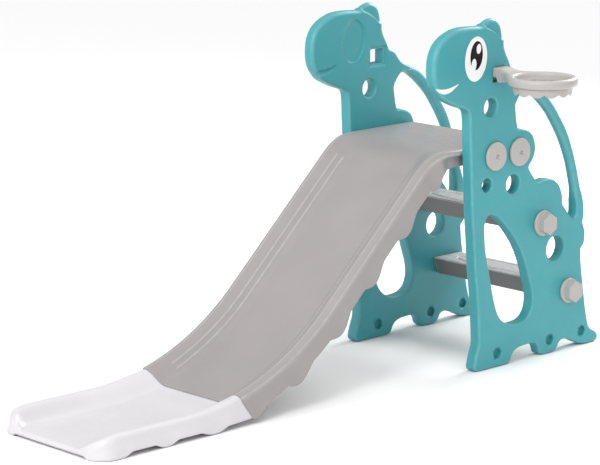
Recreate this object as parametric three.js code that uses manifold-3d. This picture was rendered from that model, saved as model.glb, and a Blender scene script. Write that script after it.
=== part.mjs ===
// A toddler slide: two moulded side panels shaped like a friendly dinosaur, a one-piece deck and chute,
// a separate exit moulding, two steps, eight hand-turned plastic screws and a ball hoop.
// Millimetres, +Z up. The chute runs down towards -X and the steps are on the +X side. Lengthways places
// in this file are measured from the front toe of the panels, and the group is moved at the end so that
// its origin is the middle of the whole slide's footprint, on the floor.
import * as THREE from 'three';
import { mergeVertices } from 'three/addons/utils/BufferGeometryUtils.js';
import Module from 'manifold-3d';

const wasm = await Module();
wasm.setup();

// ---------------------------------------------------------------- driving dimensions
const clearance = 0.3; // gap between pieces that touch

// side panels, drawn for a nominal deck height and stretched with the real one
const panelThickness = 36;
const panelSpacing = 414; // between the inner faces
const panelEdgeRadius = 9;
const drawnDeckHeight = 602;
const neckHole = 50; // diameters of the round holes in the panels
const chestHole = 37;
const backHole = 53;
const tailHole = 70;
const dimpleDiameter = 27; // blind dimples in the feet
const dimpleDepth = 11;

// deck and chute
const deckHeight = 602;
const deckLength = 262; // flat part, rear edge to crest
const deckAhead = 50; // how far the crest stands in front of the panels' toes
const deckThickness = 40;
const deckSkirt = 46;
const chuteWidth = 400;
const crestRadius = 150;
const slopeAngle = THREE.MathUtils.degToRad(43);
const runoutRadius = 710;
const seamPitch = THREE.MathUtils.degToRad(14.2); // pitch of the rim where the exit piece takes over
const rimInset = 22; // from the skirt's outer face to the middle of the rim
const floorHalf = 104; // half width of the flat bottom of the trough
const troughDepth = 35;
const bedThickness = 18;
const skirtDepth = 58; // from the rim to the notches in the skirt
const skirtWall = 14;
const scallopPitch = 163;
const scallopDepth = 20;
const scallopStraight = 0.4; // share of each scallop that is straight
const scallopLean = 1.4; // above 1 the bumps are fullest towards their lower ends
const firstNotch = 136; // from the crest to the first notch

// exit piece
const exitRimHeight = 59;
const exitLength = 457; // along the rim, seam to lip
const exitBedThickness = 12;
const lipHeight = 17;
const lipRadius = 54; // plan corners of the lip
const footPitch = 145; // feet under the exit's skirts
const footGap = 11; // height of the skirt's edge between two feet
const lastFoot = 10; // from the lip's rounding to the middle of the last foot
const tongueLength = 66;
const tongueWidth = 190;
const tongueThickness = 12;
const joinScrewDiameter = 8;
const joinScrewHead = 20;
const joinScrewSpacing = 120;
const joinScrewHeadHeight = 5;
const joinScrewBite = 7; // how far the tip goes into the bed

// steps
const lowerStepTop = 197;
const upperStepTop = 402;
const stepDepth = 112;
const stepThickness = 50;

// hand-turned screws
const screwShaft = 24;
const screwReach = 30; // how far the shaft goes into the deck or step
const deckScrewHead = 77;
const deckScrewProud = 9;
const deckScrewDrop = 23; // below the top of the deck
const stepScrewFlange = 70;
const stepScrewFlangeProud = 8;
const stepScrewHex = 53; // across flats
const stepScrewProud = 25;
const stepScrewDrop = 31; // below the top of the step
const gripBar = 5; // width of the ridge across a round screw head

// hoop
const hoopRadius = 91;
const hoopWall = 18;
const hoopHeight = 24;
const hoopReach = 150; // from the panel's face to the ring's middle
const hoopDrop = 1; // the ring hangs this much lower than the slot
const hoopArmWidth = 48;
const hoopArmHeight = 40;
const hoopPlugDepth = 30; // how far the arm's root goes into the panel
const skirtRingInset = 12; // from the hoop's outside to the outside of the skirt
const skirtRingWall = 4;
const skirtRingDepth = 19;
const skirtRingWave = 6;
const skirtRingScallops = 10;

// decals
const decalThickness = 0.6;
const eyeWidth = 84;
const eyeHeight = 118;
const eyeTilt = -0.06;

// ---------------------------------------------------------------- places worked out from the sizes
const outerFace = panelSpacing / 2 + panelThickness;
const skirtRingRadius = hoopRadius - skirtRingInset;
const stretch = deckHeight / drawnDeckHeight;
const point = (x, z) => new THREE.Vector2(x, z * stretch);
const points = (...pairs) => pairs.map(([x, z]) => point(x, z));

const deckScrewPlaces = [
  { name: 'front', x: 69, z: deckHeight - deckScrewDrop },
  { name: 'rear', x: 163, z: deckHeight - deckScrewDrop },
];
const steps = [
  { name: 'lower', screwX: 376, front: 310, top: lowerStepTop },
  { name: 'upper', screwX: 263, front: 197, top: upperStepTop },
];
const hoopPlace = { x: 81, z: 797 * stretch };
const eyePlace = { x: -10.5, z: 846 * stretch };
const sides = [
  { name: 'left', out: -1 },
  { name: 'right', out: 1 },
];

// ---------------------------------------------------------------- solids and booleans
function solid(geometry) {
  const bare = geometry.clone();
  bare.deleteAttribute('normal');
  bare.deleteAttribute('uv');
  const merged = mergeVertices(bare, 1e-4);
  const vertProperties = new Float32Array(merged.attributes.position.array);
  const corners = merged.index.array;
  const kept = []; // a lathe leaves flat triangles where its profile meets the axis
  for (let i = 0; i < corners.length; i += 3) {
    const [a, b, c] = corners.slice(i, i + 3);
    if (a !== b && b !== c && c !== a) kept.push(a, b, c);
  }
  const triVerts = new Uint32Array(kept);
  return new wasm.Manifold(new wasm.Mesh({ numProp: 3, vertProperties, triVerts }));
}

function geometryOf(manifold) {
  const mesh = manifold.getMesh();
  const geometry = new THREE.BufferGeometry();
  geometry.setAttribute('position', new THREE.BufferAttribute(mesh.vertProperties, 3));
  geometry.setIndex(new THREE.BufferAttribute(mesh.triVerts, 1));
  geometry.computeVertexNormals();
  return geometry;
}

function cut(geometry, ...tools) {
  return geometryOf(tools.reduce((rest, tool) => rest.subtract(solid(tool)), solid(geometry)));
}

function join(geometry, ...others) {
  return geometryOf(others.reduce((sum, other) => sum.add(solid(other)), solid(geometry)));
}

// A flat outline in X and Z, extruded along Y from yLow to yHigh.
function slab(shape, yLow, yHigh, curveSegments = 6) {
  const geometry = new THREE.ExtrudeGeometry(shape, {
    depth: yHigh - yLow, bevelEnabled: false, curveSegments,
  });
  return geometry.rotateX(Math.PI / 2).translate(0, yHigh, 0);
}

// A round bar along Y.
function barAlongY(diameter, yLow, yHigh, x, z, sidesRound = 16) {
  const geometry = new THREE.CylinderGeometry(diameter / 2, diameter / 2, yHigh - yLow, sidesRound);
  return geometry.translate(x, (yLow + yHigh) / 2, z);
}

function box(xLow, xHigh, yLow, yHigh, zLow, zHigh) {
  const geometry = new THREE.BoxGeometry(xHigh - xLow, yHigh - yLow, zHigh - zLow);
  return geometry.translate((xLow + xHigh) / 2, (yLow + yHigh) / 2, (zLow + zHigh) / 2);
}

// A closed skin through a row of rings with equal counts, capped by the first and last sections.
function loft(rings, capSection) {
  const count = rings[0].length;
  const positions = rings.flat().flatMap((p) => [p.x, p.y, p.z]);
  const index = [];
  for (let r = 0; r < rings.length - 1; r += 1) {
    for (let i = 0; i < count; i += 1) {
      const a = r * count + i;
      const b = r * count + ((i + 1) % count);
      index.push(a, a + count, b, b, a + count, b + count);
    }
  }
  const addCap = (ring, facingBack) => {
    const flip = THREE.ShapeUtils.isClockWise(capSection(ring)) !== facingBack;
    for (const face of THREE.ShapeUtils.triangulateShape(capSection(ring), [])) {
      index.push(...(flip ? face.reverse() : face).map((i) => ring * count + i));
    }
  };
  addCap(0, false);
  addCap(rings.length - 1, true);
  const geometry = new THREE.BufferGeometry();
  geometry.setAttribute('position', new THREE.Float32BufferAttribute(positions, 3));
  geometry.setIndex(index);
  return geometry;
}

// ---------------------------------------------------------------- side panels
// A loop of smooth stretches with a crease between each two. A stretch of one point is straight.
function creasedLoop(start, ...stretches) {
  const loop = points(start);
  for (const run of stretches) {
    const curve = new THREE.SplineCurve([loop.at(-1), ...points(...run)]);
    loop.push(...curve.getPoints(run.length).slice(1));
  }
  if (loop.at(-1).distanceTo(loop[0]) < 0.01) loop.pop();
  return loop;
}

// The dinosaur's outline, clockwise from the front toe as seen from the left.
function panelOutline() {
  return creasedLoop(
    [0, 14],
    [ // front leg, chin, snout and forehead
      [7, 42], [17, 70], [17, 100], [12, 170], [6, 225], [-1, 275], [-9, 370], [-16, 440], [-21, 540],
      [-26, 630], [-29, 692], [-38, 713], [-76, 727], [-106, 740], [-132, 754], [-149, 771],
      [-162, 790], [-168, 815], [-168, 845], [-163, 868], [-150, 892], [-127, 911], [-102, 922],
      [-77, 929], [-37, 931], [18, 928],
    ],
    [[29, 937], [44, 943], [60, 945], [80, 939], [95, 922], [102, 898], [103, 868]], // ear
    [[112, 846], [122, 826], [128, 811]], // back of the head
    [ // first hump, running into the handle
      [139, 808], [152, 800], [163, 787], [177, 772], [192, 765], [218, 757], [252, 742], [284, 716],
      [312, 688], [337, 656], [358, 627], [376, 597], [391, 564], [404, 531], [415, 498], [425, 462],
      [433, 427], [438, 395], [439, 368], [434, 348],
    ],
    [[441, 334], [445, 318], [444, 295], [438, 282], [428, 275]], // last hump
    [ // rear leg and its toe
      [430, 248], [434, 217], [442, 170], [450, 125], [457, 90], [465, 60], [473, 44], [487, 34],
      [500, 27], [508, 16], [505, 4], [494, 0],
    ],
    [[449, 0]],
    [[431, 5], [402, 18], [365, 29], [346, 24], [337, 10], [325, 0]], // rear arch
    [[276, 0]],
    [[264, 7], [258, 24], [246, 37], [226, 40], [190, 39], [165, 33], [152, 22], [145, 7], [134, 0]],
    [[14, 0]],
    [[4, 4], [0, 14]],
  );
}

// The crescent between the back and the handle, edged by two humps of the back.
function crescentHole() {
  return creasedLoop(
    [149, 706],
    [
      [157, 719], [167, 731], [180, 741], [202, 738], [228, 722], [256, 700], [289, 668], [313, 637],
      [333, 608], [350, 580], [365, 549], [377, 521], [387, 488], [396, 455], [403, 422], [407, 392],
      [405, 374], [396, 365], [384, 371], [366, 391], [348, 412],
    ],
    [[346, 438], [333, 466], [309, 484], [283, 489], [262, 487], [247, 483]],
    [[230, 500], [216, 517], [206, 532]],
    [[226, 556], [233, 585], [218, 621], [186, 637], [163, 638]],
    [[156, 660], [152, 684], [149, 706]],
  ).reverse();
}

// The D-shaped window between the legs.
function legHole() {
  return creasedLoop([34, 396], [
    [38, 338], [47, 295], [60, 245], [76, 185], [92, 145], [112, 122], [140, 109], [170, 107],
    [200, 112], [220, 128], [229, 155], [227, 185], [216, 220], [195, 277], [168, 325], [129, 372],
    [88, 410], [66, 421], [46, 419], [34, 396],
  ]);
}

function roundHole(x, z, diameter) {
  const circle = new THREE.EllipseCurve(x, z * stretch, diameter / 2, diameter / 2);
  return circle.getPoints(16).slice(1);
}

function dimples(yFace, out) {
  return [[89, 37], [302, 38], [435, 41]].map(([x, z]) => (
    barAlongY(dimpleDiameter, Math.min(yFace - out * dimpleDepth, yFace + out),
      Math.max(yFace - out * dimpleDepth, yFace + out), x, z * stretch, 14)
  ));
}

// The hoop's socket: a plain slot right through the panel.
function hoopSlot(out) {
  const half = hoopArmWidth / 2 + clearance;
  const up = hoopArmHeight / 2 + clearance;
  const near = out * (panelSpacing / 2 - 1);
  const far = out * (outerFace + 1);
  const { x, z } = hoopPlace;
  return box(x - half, x + half, Math.min(near, far), Math.max(near, far), z - up, z + up);
}

function sidePanel(out) {
  const shape = new THREE.Shape(panelOutline());
  const holes = [
    crescentHole(), legHole(), roundHole(51, 711, neckHole), roundHole(41, 504, chestHole),
    roundHole(144, 494, backHole), roundHole(320, 292, tailHole),
  ];
  shape.holes.push(...holes.map((loop) => new THREE.Path(loop)));
  const body = new THREE.ExtrudeGeometry(shape, {
    depth: panelThickness - 2 * panelEdgeRadius,
    bevelEnabled: true,
    bevelThickness: panelEdgeRadius,
    bevelSize: panelEdgeRadius,
    bevelOffset: -panelEdgeRadius,
    bevelSegments: 2,
  });
  body.rotateX(Math.PI / 2);
  const middle = out * (panelSpacing / 2 + panelThickness / 2);
  body.translate(0, middle + panelThickness / 2 - panelEdgeRadius, 0);
  const reach = [outerFace + 1, panelSpacing / 2 - 1].map((y) => out * y).sort((a, b) => a - b);
  const hole = screwShaft + 2 * clearance;
  const screwHoles = [
    ...deckScrewPlaces.map(({ x, z }) => barAlongY(hole, ...reach, x, z)),
    ...steps.map(({ screwX, top }) => barAlongY(hole, ...reach, screwX, top - stepScrewDrop)),
  ];
  const faces = [...dimples(out * outerFace, out), ...dimples(out * panelSpacing / 2, -out)];
  return cut(body, ...screwHoles, ...faces, hoopSlot(out));
}

// ---------------------------------------------------------------- chute
// The rim's line seen from the side: deck, crest, slope and run-out, as straights and arcs.
function rimLine() {
  const rise = deckHeight - exitRimHeight;
  const curves = (crestRadius + runoutRadius) * (1 - Math.cos(slopeAngle));
  return [
    { length: deckLength, turn: 0 },
    { length: crestRadius * slopeAngle, turn: slopeAngle },
    { length: (rise - curves) / Math.sin(slopeAngle), turn: 0 },
    { length: runoutRadius * slopeAngle, turn: -slopeAngle },
    { length: exitLength, turn: 0 },
  ];
}

// Walks along the rim's line and gives the place and pitch at a distance from the deck's rear edge.
function alongRim(distance) {
  let x = deckLength - deckAhead;
  let z = deckHeight;
  let pitch = 0;
  let left = distance;
  for (const { length, turn } of rimLine()) {
    const part = Math.min(left, length);
    const end = pitch + (turn * part) / length;
    if (turn === 0) {
      x -= part * Math.cos(pitch);
      z -= part * Math.sin(pitch);
    } else {
      const radius = length / turn;
      x -= radius * (Math.sin(end) - Math.sin(pitch));
      z -= radius * (Math.cos(pitch) - Math.cos(end));
    }
    pitch = end;
    left -= part;
    if (left <= 0) break;
  }
  return { x, z, pitch };
}

const crestStart = deckLength;
const crestEnd = crestStart + crestRadius * slopeAngle;
const runoutEnd = rimLine().slice(0, 4).reduce((sum, { length }) => sum + length, 0);
const seam = runoutEnd - runoutRadius * seamPitch;
const lip = seam + exitLength;

// Cross-section of a trough with rolled rims and skirts, as points (across, above the rim line).
function troughSection({ floor, rim, floorEdge, rimMiddle, outer, skirt, under }) {
  const wall = [0.25, 0.5, 0.75].map((t) => [
    floorEdge + (rimMiddle - 6 - floorEdge) * t,
    floor + (rim - floor) * (1 - Math.cos(Math.PI * t)) / 2,
  ]);
  const inner = outer - skirtWall;
  const half = [
    [floorEdge, floor], ...wall, [rimMiddle - 6, rim], [rimMiddle + 4, rim - 1],
    [rimMiddle + 12, rim - 7], [outer, skirt + 3], [outer - 3, skirt], [inner + 3, skirt],
    [inner, skirt + 2], [inner - 2, under],
  ];
  const otherHalf = half.map(([across, up]) => [-across, up]);
  return [...otherHalf, ...half.reverse()].map(([across, up]) => new THREE.Vector2(across, up));
}

// Carries sections along the rim's line.
function troughLoft(distances, sectionAt) {
  const sections = distances.map((d) => troughSection(sectionAt(d)));
  const rings = distances.map((d, i) => {
    const { x, z, pitch } = alongRim(d);
    return sections[i].map((p) => (
      new THREE.Vector3(x - p.y * Math.sin(pitch), p.x, z + p.y * Math.cos(pitch))
    ));
  });
  return loft(rings, (i) => sections[i]);
}

const ease = (t) => THREE.MathUtils.smoothstep(t, 0, 1);
const mix = THREE.MathUtils.lerp;

function chuteSection(distance) {
  const t = ease((distance - crestStart + 40) / (crestEnd - crestStart + 40));
  const outer = mix(panelSpacing / 2 - clearance, chuteWidth / 2, t);
  const phase = THREE.MathUtils.euclideanModulo((distance - crestStart - firstNotch) / scallopPitch, 1);
  const bulge = Math.max(0, (phase - scallopStraight) / (1 - scallopStraight)); // along the bump, 0 to 1
  const wave = scallopDepth * Math.sin(Math.PI * bulge ** scallopLean);
  return {
    floor: -troughDepth * t,
    rim: 0,
    floorEdge: floorHalf,
    rimMiddle: outer - mix(12, rimInset, t),
    outer,
    skirt: -mix(deckSkirt, skirtDepth + wave, t),
    under: -mix(deckThickness, troughDepth + bedThickness, t),
  };
}

function spread(from, to, count) {
  return Array.from({ length: count }, (_, i) => mix(from, to, i / (count - 1)));
}

// The joining screws stand on two places near the seam, under the flat of the bed.
function joinPlaces() {
  const { x, z, pitch } = alongRim(seam - tongueLength / 2);
  const sole = z - (troughDepth + bedThickness) * Math.cos(pitch);
  return [-1, 1].map((side) => ({
    x: x + (troughDepth + bedThickness) * Math.sin(pitch), y: side * joinScrewSpacing / 2, z: sole, pitch,
  }));
}

// Turns a piece made about the origin, pointing up, square to the bed and sets it on a joining place.
function onBed(geometry, { x, y, z, pitch }) {
  return geometry.rotateY(-pitch).translate(x, y, z);
}

function chute() {
  const distances = [
    0, crestStart - 40, ...spread(crestStart - 20, seam, 49),
  ];
  const body = troughLoft(distances, chuteSection);
  const boreEnd = panelSpacing / 2 - clearance - screwReach - clearance;
  const bores = deckScrewPlaces.flatMap(({ x, z }) => [-1, 1].map((side) => barAlongY(
    screwShaft + 2 * clearance,
    Math.min(side * boreEnd, side * panelSpacing / 2),
    Math.max(side * boreEnd, side * panelSpacing / 2),
    x, z,
  )));
  const pilot = (place) => onBed(
    new THREE.CylinderGeometry(
      joinScrewDiameter / 2 + clearance, joinScrewDiameter / 2 + clearance, bedThickness, 12,
    ).rotateX(Math.PI / 2),
    place,
  );
  return cut(body, ...bores, ...joinPlaces().map(pilot));
}

// ---------------------------------------------------------------- exit piece
function exitSection(distance) {
  const { z, pitch } = alongRim(distance);
  const toLip = lip - distance;
  const corner = Math.max(0, lipRadius - toLip);
  const round = Math.sqrt(Math.max(0, 1 - (corner / lipRadius) ** 2));
  const t = ease((distance - seam) / (exitLength - lipRadius));
  const root = -troughDepth - bedThickness - tongueThickness;
  const rise = z / Math.cos(pitch);
  const floor = mix(-troughDepth - 1, lipHeight - exitRimHeight, t);
  const phase = THREE.MathUtils.euclideanModulo(toLip - lipRadius - lastFoot, footPitch) / footPitch;
  const lift = footGap * (1 - Math.max(0, Math.cos(2 * Math.PI * phase)));
  const outer = chuteWidth / 2 - lipRadius * (1 - round);
  const skirt = -rise + (toLip < lipRadius + lastFoot ? 0 : lift);
  return {
    floor: toLip === 0 ? floor - 7 : floor,
    rim: mix(toLip === 0 ? floor - 5 : floor + 2, 0, round),
    floorEdge: floorHalf + 30 * t - lipRadius * (1 - round),
    rimMiddle: outer - rimInset,
    outer,
    skirt,
    under: Math.max(mix(root, floor - exitBedThickness, ease((distance - seam) / tongueLength)), skirt + 4),
  };
}

function exitPiece() {
  const start = seam + clearance;
  const arc = [0.25, 0.5, 0.7, 0.85, 0.95, 1].map((t) => lip - lipRadius * (1 - t));
  const distances = [...spread(start, lip - lipRadius, 24), ...arc];
  const body = troughLoft(distances, exitSection);
  const [seat] = joinPlaces();
  const rooted = tongueLength / 2; // how much of the tongue lies inside the exit's bed
  const tongue = new THREE.BoxGeometry(tongueLength + rooted, tongueWidth, tongueThickness)
    .translate(-rooted / 2, 0, -tongueThickness / 2 - clearance);
  onBed(tongue, { ...seat, y: 0 });
  const hole = (place) => onBed(
    new THREE.CylinderGeometry(
      joinScrewDiameter / 2 + clearance, joinScrewDiameter / 2 + clearance, tongueThickness * 3, 12,
    ).rotateX(Math.PI / 2),
    place,
  );
  return cut(join(body, tongue), ...joinPlaces().map(hole));
}

function joinScrew(place) {
  const under = -tongueThickness - 2 * clearance;
  const profile = [
    [0, under - joinScrewHeadHeight], [joinScrewHead / 2 - 2, under - joinScrewHeadHeight],
    [joinScrewHead / 2, under - joinScrewHeadHeight + 2], [joinScrewHead / 2, under],
    [joinScrewDiameter / 2, under], [joinScrewDiameter / 2, joinScrewBite - 2], [0, joinScrewBite],
  ].map(([r, y]) => new THREE.Vector2(r, y));
  return onBed(new THREE.LatheGeometry(profile, 16).rotateX(Math.PI / 2), place);
}

// ---------------------------------------------------------------- steps
function step({ screwX, front, top }) {
  const back = front + stepDepth;
  const bottom = top - stepThickness;
  const shape = new THREE.Shape();
  shape.moveTo(front + 8, top);
  shape.quadraticCurveTo(front, top, front + 2, top - 9);
  shape.lineTo(front + 15, bottom + 9);
  shape.quadraticCurveTo(front + 17, bottom, front + 26, bottom);
  shape.lineTo(back - 18, bottom);
  shape.quadraticCurveTo(back - 9, bottom, back - 7, bottom + 9);
  shape.lineTo(back, top - 9);
  shape.quadraticCurveTo(back + 1, top, back - 8, top);
  const end = panelSpacing / 2 - clearance;
  const bore = end - screwReach - clearance;
  return cut(
    slab(shape, -end, end, 4),
    barAlongY(screwShaft + 2 * clearance, bore, end + 1, screwX, top - stepScrewDrop),
    barAlongY(screwShaft + 2 * clearance, -end - 1, -bore, screwX, top - stepScrewDrop),
  );
}

// ---------------------------------------------------------------- screws
// Lathe profiles about Y: the shaft reaches inwards, the head stands on the panel's outer face.
function screwBlank(headProfile, out) {
  const tip = panelSpacing / 2 - clearance - screwReach;
  const seat = outerFace + clearance;
  const profile = [
    [0, tip], [screwShaft / 2 - 2, tip], [screwShaft / 2, tip + 2], [screwShaft / 2, seat],
    ...headProfile.map(([r, y]) => [r, seat + y]),
  ].map(([r, y]) => new THREE.Vector2(r, y));
  const geometry = new THREE.LatheGeometry(profile, 24);
  return out > 0 ? geometry : geometry.rotateX(Math.PI);
}

function deckScrew(out) {
  const r = deckScrewHead / 2;
  const rim = [[r, 0], [r, deckScrewProud - 4], [r - 4, deckScrewProud], [0, deckScrewProud]];
  const face = outerFace + clearance + deckScrewProud;
  const ridge = box(-gripBar / 2, gripBar / 2, -1, 2, 6 - r, r - 6).rotateY(THREE.MathUtils.degToRad(52));
  return join(screwBlank(rim, out), ridge.translate(0, out > 0 ? face : -face - 1, 0));
}

function stepScrew(out) {
  const r = stepScrewFlange / 2;
  const flange = stepScrewFlangeProud;
  const rim = [[r, 0], [r, flange - 4], [r - 4, flange], [0, flange]];
  const across = stepScrewHex / Math.sqrt(3);
  const bevel = 4; // height of the hexagon's bevelled end
  const head = new THREE.CylinderGeometry(across, across, stepScrewProud - bevel, 6);
  const cap = new THREE.CylinderGeometry(across - 3, across, bevel, 6).translate(0, stepScrewProud / 2, 0);
  const height = outerFace + clearance + (stepScrewProud - bevel) / 2;
  const hex = join(head, cap).translate(0, height, 0);
  if (out < 0) hex.rotateX(Math.PI);
  return join(screwBlank(rim, out), hex);
}

// ---------------------------------------------------------------- hoop
function hoopRing() {
  const inner = hoopRadius - hoopWall;
  const half = hoopHeight / 2;
  const profile = [
    [inner + 4, -half], [hoopRadius - 6, -half], [hoopRadius - 1, -half + 6], [hoopRadius, half - 8],
    [hoopRadius - 4, half - 1], [hoopRadius - 9, half], [inner + 4, half - 3], [inner, half - 9],
    [inner, -half + 4], [inner + 4, -half],
  ].map(([r, y]) => new THREE.Vector2(r, y));
  return new THREE.LatheGeometry(profile, 48).rotateX(Math.PI / 2);
}

// The arm tapers from its root to the ring; its root plugs into the left panel's slot.
function hoopArm() {
  const ringEdge = hoopReach - hoopRadius + hoopWall / 2;
  const stations = [
    { y: -hoopPlugDepth, half: hoopArmWidth / 2, middle: hoopDrop, up: hoopArmHeight / 2 },
    { y: 0, half: hoopArmWidth / 2, middle: hoopDrop, up: hoopArmHeight / 2 },
    { y: ringEdge * 0.4, half: hoopArmWidth / 2, middle: hoopDrop - 3, up: hoopArmHeight / 2 - 2 },
    { y: ringEdge + 4, half: hoopArmWidth / 2 - 2, middle: 0, up: hoopHeight / 2 - 1 },
  ];
  const sections = stations.map(({ half, middle, up }) => [
    new THREE.Vector2(half, middle + up), new THREE.Vector2(half, middle - up),
    new THREE.Vector2(-half, middle - up), new THREE.Vector2(-half, middle + up),
  ]);
  const rings = stations.map(({ y }, i) => (
    sections[i].map((p) => new THREE.Vector3(p.x, hoopReach - y, p.y))
  ));
  return loft(rings, (i) => sections[i]);
}

function hoop() {
  return join(hoopRing(), hoopArm());
}

// The scalloped skirt under the ring.
function hoopSkirt() {
  const top = -hoopHeight / 2 - clearance;
  const around = skirtRingScallops * 8;
  const rings = Array.from({ length: around }, (_, i) => {
    const turn = (i / around) * 2 * Math.PI;
    const low = top - skirtRingDepth - skirtRingWave * Math.cos(turn * skirtRingScallops);
    const ring = [
      [skirtRingRadius, top], [skirtRingRadius - 3, low], [skirtRingRadius - 3 - skirtRingWall, low],
      [skirtRingRadius - skirtRingWall, top],
    ];
    return ring.map(([r, z]) => new THREE.Vector3(r * Math.cos(turn), r * Math.sin(turn), z));
  });
  const count = rings[0].length;
  const index = [];
  for (let r = 0; r < around; r += 1) {
    for (let i = 0; i < count; i += 1) {
      const a = r * count + i;
      const b = r * count + ((i + 1) % count);
      const c = ((r + 1) % around) * count + i;
      const d = ((r + 1) % around) * count + ((i + 1) % count);
      index.push(a, b, c, b, d, c);
    }
  }
  const geometry = new THREE.BufferGeometry();
  const corners = rings.flat().flatMap((p) => p.toArray());
  geometry.setAttribute('position', new THREE.Float32BufferAttribute(corners, 3));
  geometry.setIndex(index);
  return geometry;
}

// ---------------------------------------------------------------- decals
function onFace(shape, out) {
  const low = outerFace + clearance;
  const high = low + decalThickness;
  return out > 0 ? slab(shape, low, high, 3) : slab(shape, -high, -low, 3);
}

function eye(out) {
  const oval = new THREE.EllipseCurve(
    eyePlace.x, eyePlace.z, eyeWidth / 2, eyeHeight / 2, 0, Math.PI * 2, false, eyeTilt,
  );
  return onFace(new THREE.Shape(oval.getPoints(28).slice(1)), out);
}

function mouth(out) {
  const shape = new THREE.Shape();
  shape.moveTo(...point(-152, 781).toArray());
  shape.splineThru(points([-144, 771], [-127, 766], [-104, 770], [-75, 787]));
  shape.splineThru(points([-104, 781], [-127, 779], [-152, 781]));
  return onFace(shape, out);
}

// ---------------------------------------------------------------- assembly
const finishes = {
  teal: new THREE.MeshStandardMaterial({ color: 0x58aab1, roughness: 0.45 }),
  chuteGrey: new THREE.MeshStandardMaterial({ color: 0xb2aeac, roughness: 0.45 }),
  exitWhite: new THREE.MeshStandardMaterial({ color: 0xf2f1f2, roughness: 0.4 }),
  stepGrey: new THREE.MeshStandardMaterial({ color: 0x6b6868, roughness: 0.5 }),
  paleGrey: new THREE.MeshStandardMaterial({ color: 0xc6bfbb, roughness: 0.4 }),
  decalWhite: new THREE.MeshStandardMaterial({ color: 0xfafafa, roughness: 0.35 }),
  zinc: new THREE.MeshStandardMaterial({ color: 0xb8bcc0, roughness: 0.35, metalness: 1 }),
};

const slide = new THREE.Group();
slide.name = 'toddler_slide';

function add(name, geometry, material, x = 0, y = 0, z = 0) {
  const mesh = new THREE.Mesh(geometry, material);
  mesh.name = name;
  mesh.position.set(x, y, z);
  slide.add(mesh);
}

for (const { name, out } of sides) {
  add(`${name}_side_panel`, sidePanel(out), finishes.teal);
  add(`${name}_eye_decal`, eye(out), finishes.decalWhite);
  add(`${name}_mouth_decal`, mouth(out), finishes.decalWhite);
  for (const place of deckScrewPlaces) {
    add(`${name}_${place.name}_deck_screw`, deckScrew(out), finishes.paleGrey, place.x, 0, place.z);
  }
  for (const { name: level, screwX, top } of steps) {
    add(`${name}_${level}_step_screw`, stepScrew(out), finishes.paleGrey, screwX, 0, top - stepScrewDrop);
  }
}
add('deck_and_chute', chute(), finishes.chuteGrey);
add('chute_exit', exitPiece(), finishes.exitWhite);
joinPlaces().forEach((place, i) => (
  add(`${sides[i].name}_joining_screw`, joinScrew(place), finishes.zinc)
));
for (const each of steps) add(`${each.name}_step`, step(each), finishes.stepGrey);
const hoopMiddle = -outerFace - hoopReach;
add('ball_hoop', hoop(), finishes.paleGrey, hoopPlace.x, hoopMiddle, hoopPlace.z - hoopDrop);
add('hoop_skirt', hoopSkirt(), finishes.paleGrey, hoopPlace.x, hoopMiddle, hoopPlace.z - hoopDrop);

const bounds = new THREE.Box3().setFromObject(slide);
const centre = bounds.getCenter(new THREE.Vector3());
slide.position.set(-centre.x, -centre.y, -bounds.min.z);
slide.updateMatrixWorld(true);

export default slide;
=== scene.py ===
"""Finish pieces for a toddler slide with two dinosaur-shaped side panels.

Each piece is a numpy surface in the frame of the loaded model. Sizes inside the shape functions are
millimetres, lengthways from the front toe of the panels, and become metres when a mesh is made.
"""

import math

import bmesh
import bpy
import numpy as np
from bpy.props import FloatProperty, FloatVectorProperty, PointerProperty
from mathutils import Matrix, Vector, geometry


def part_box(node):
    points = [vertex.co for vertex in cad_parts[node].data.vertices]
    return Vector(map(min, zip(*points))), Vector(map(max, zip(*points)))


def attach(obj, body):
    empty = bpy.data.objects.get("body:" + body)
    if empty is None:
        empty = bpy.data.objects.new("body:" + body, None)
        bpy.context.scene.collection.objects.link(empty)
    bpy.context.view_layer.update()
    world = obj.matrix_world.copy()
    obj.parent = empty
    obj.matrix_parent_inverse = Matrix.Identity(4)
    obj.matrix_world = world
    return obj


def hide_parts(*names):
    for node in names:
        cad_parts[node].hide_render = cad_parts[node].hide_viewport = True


bl_info = {
    "name": "Toddler Slide Finish",
    "version": (1, 0, 0),
    "blender": (4, 5, 0),
    "location": "View3D > Sidebar > Slide",
    "description": "Builds the moulded panels, chute, steps, screws and ball hoop of a toddler slide",
    "category": "Object",
}

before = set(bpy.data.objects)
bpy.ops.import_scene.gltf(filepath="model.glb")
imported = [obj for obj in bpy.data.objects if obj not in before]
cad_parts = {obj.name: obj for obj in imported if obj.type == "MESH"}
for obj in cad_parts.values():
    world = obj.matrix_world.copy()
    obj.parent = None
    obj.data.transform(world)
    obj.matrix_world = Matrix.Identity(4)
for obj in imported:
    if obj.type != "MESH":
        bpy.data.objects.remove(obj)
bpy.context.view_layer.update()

# ---------------------------------------------------------------- places taken from the loaded frame
MM = 0.001
FIRST_SCREW = 69.0  # front deck screw, from the front toe


def node_box(name):
    """Lowest and highest corner of a frame node as arrays in millimetres."""
    low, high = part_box(name)
    return np.array(low) / MM, np.array(high) / MM


PANEL_LOW, PANEL_HIGH = node_box("left_side_panel")
FAR_PANEL_HIGH = node_box("right_side_panel")[1]
THICK = PANEL_HIGH[1] - PANEL_LOW[1]  # panel thickness
HALF_THICK = THICK / 2
OUTER = (FAR_PANEL_HIGH[1] - PANEL_LOW[1]) / 2  # middle of the slide to a panel's outer face
INNER = OUTER - THICK
PANEL_MIDDLE = OUTER - HALF_THICK
ORIGIN = np.array([
    sum(b[0] for b in node_box("left_front_deck_screw")) / 2 - FIRST_SCREW,
    (PANEL_LOW[1] + FAR_PANEL_HIGH[1]) / 2,
    0.0,
])  # front toe, middle of the slide, floor

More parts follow.
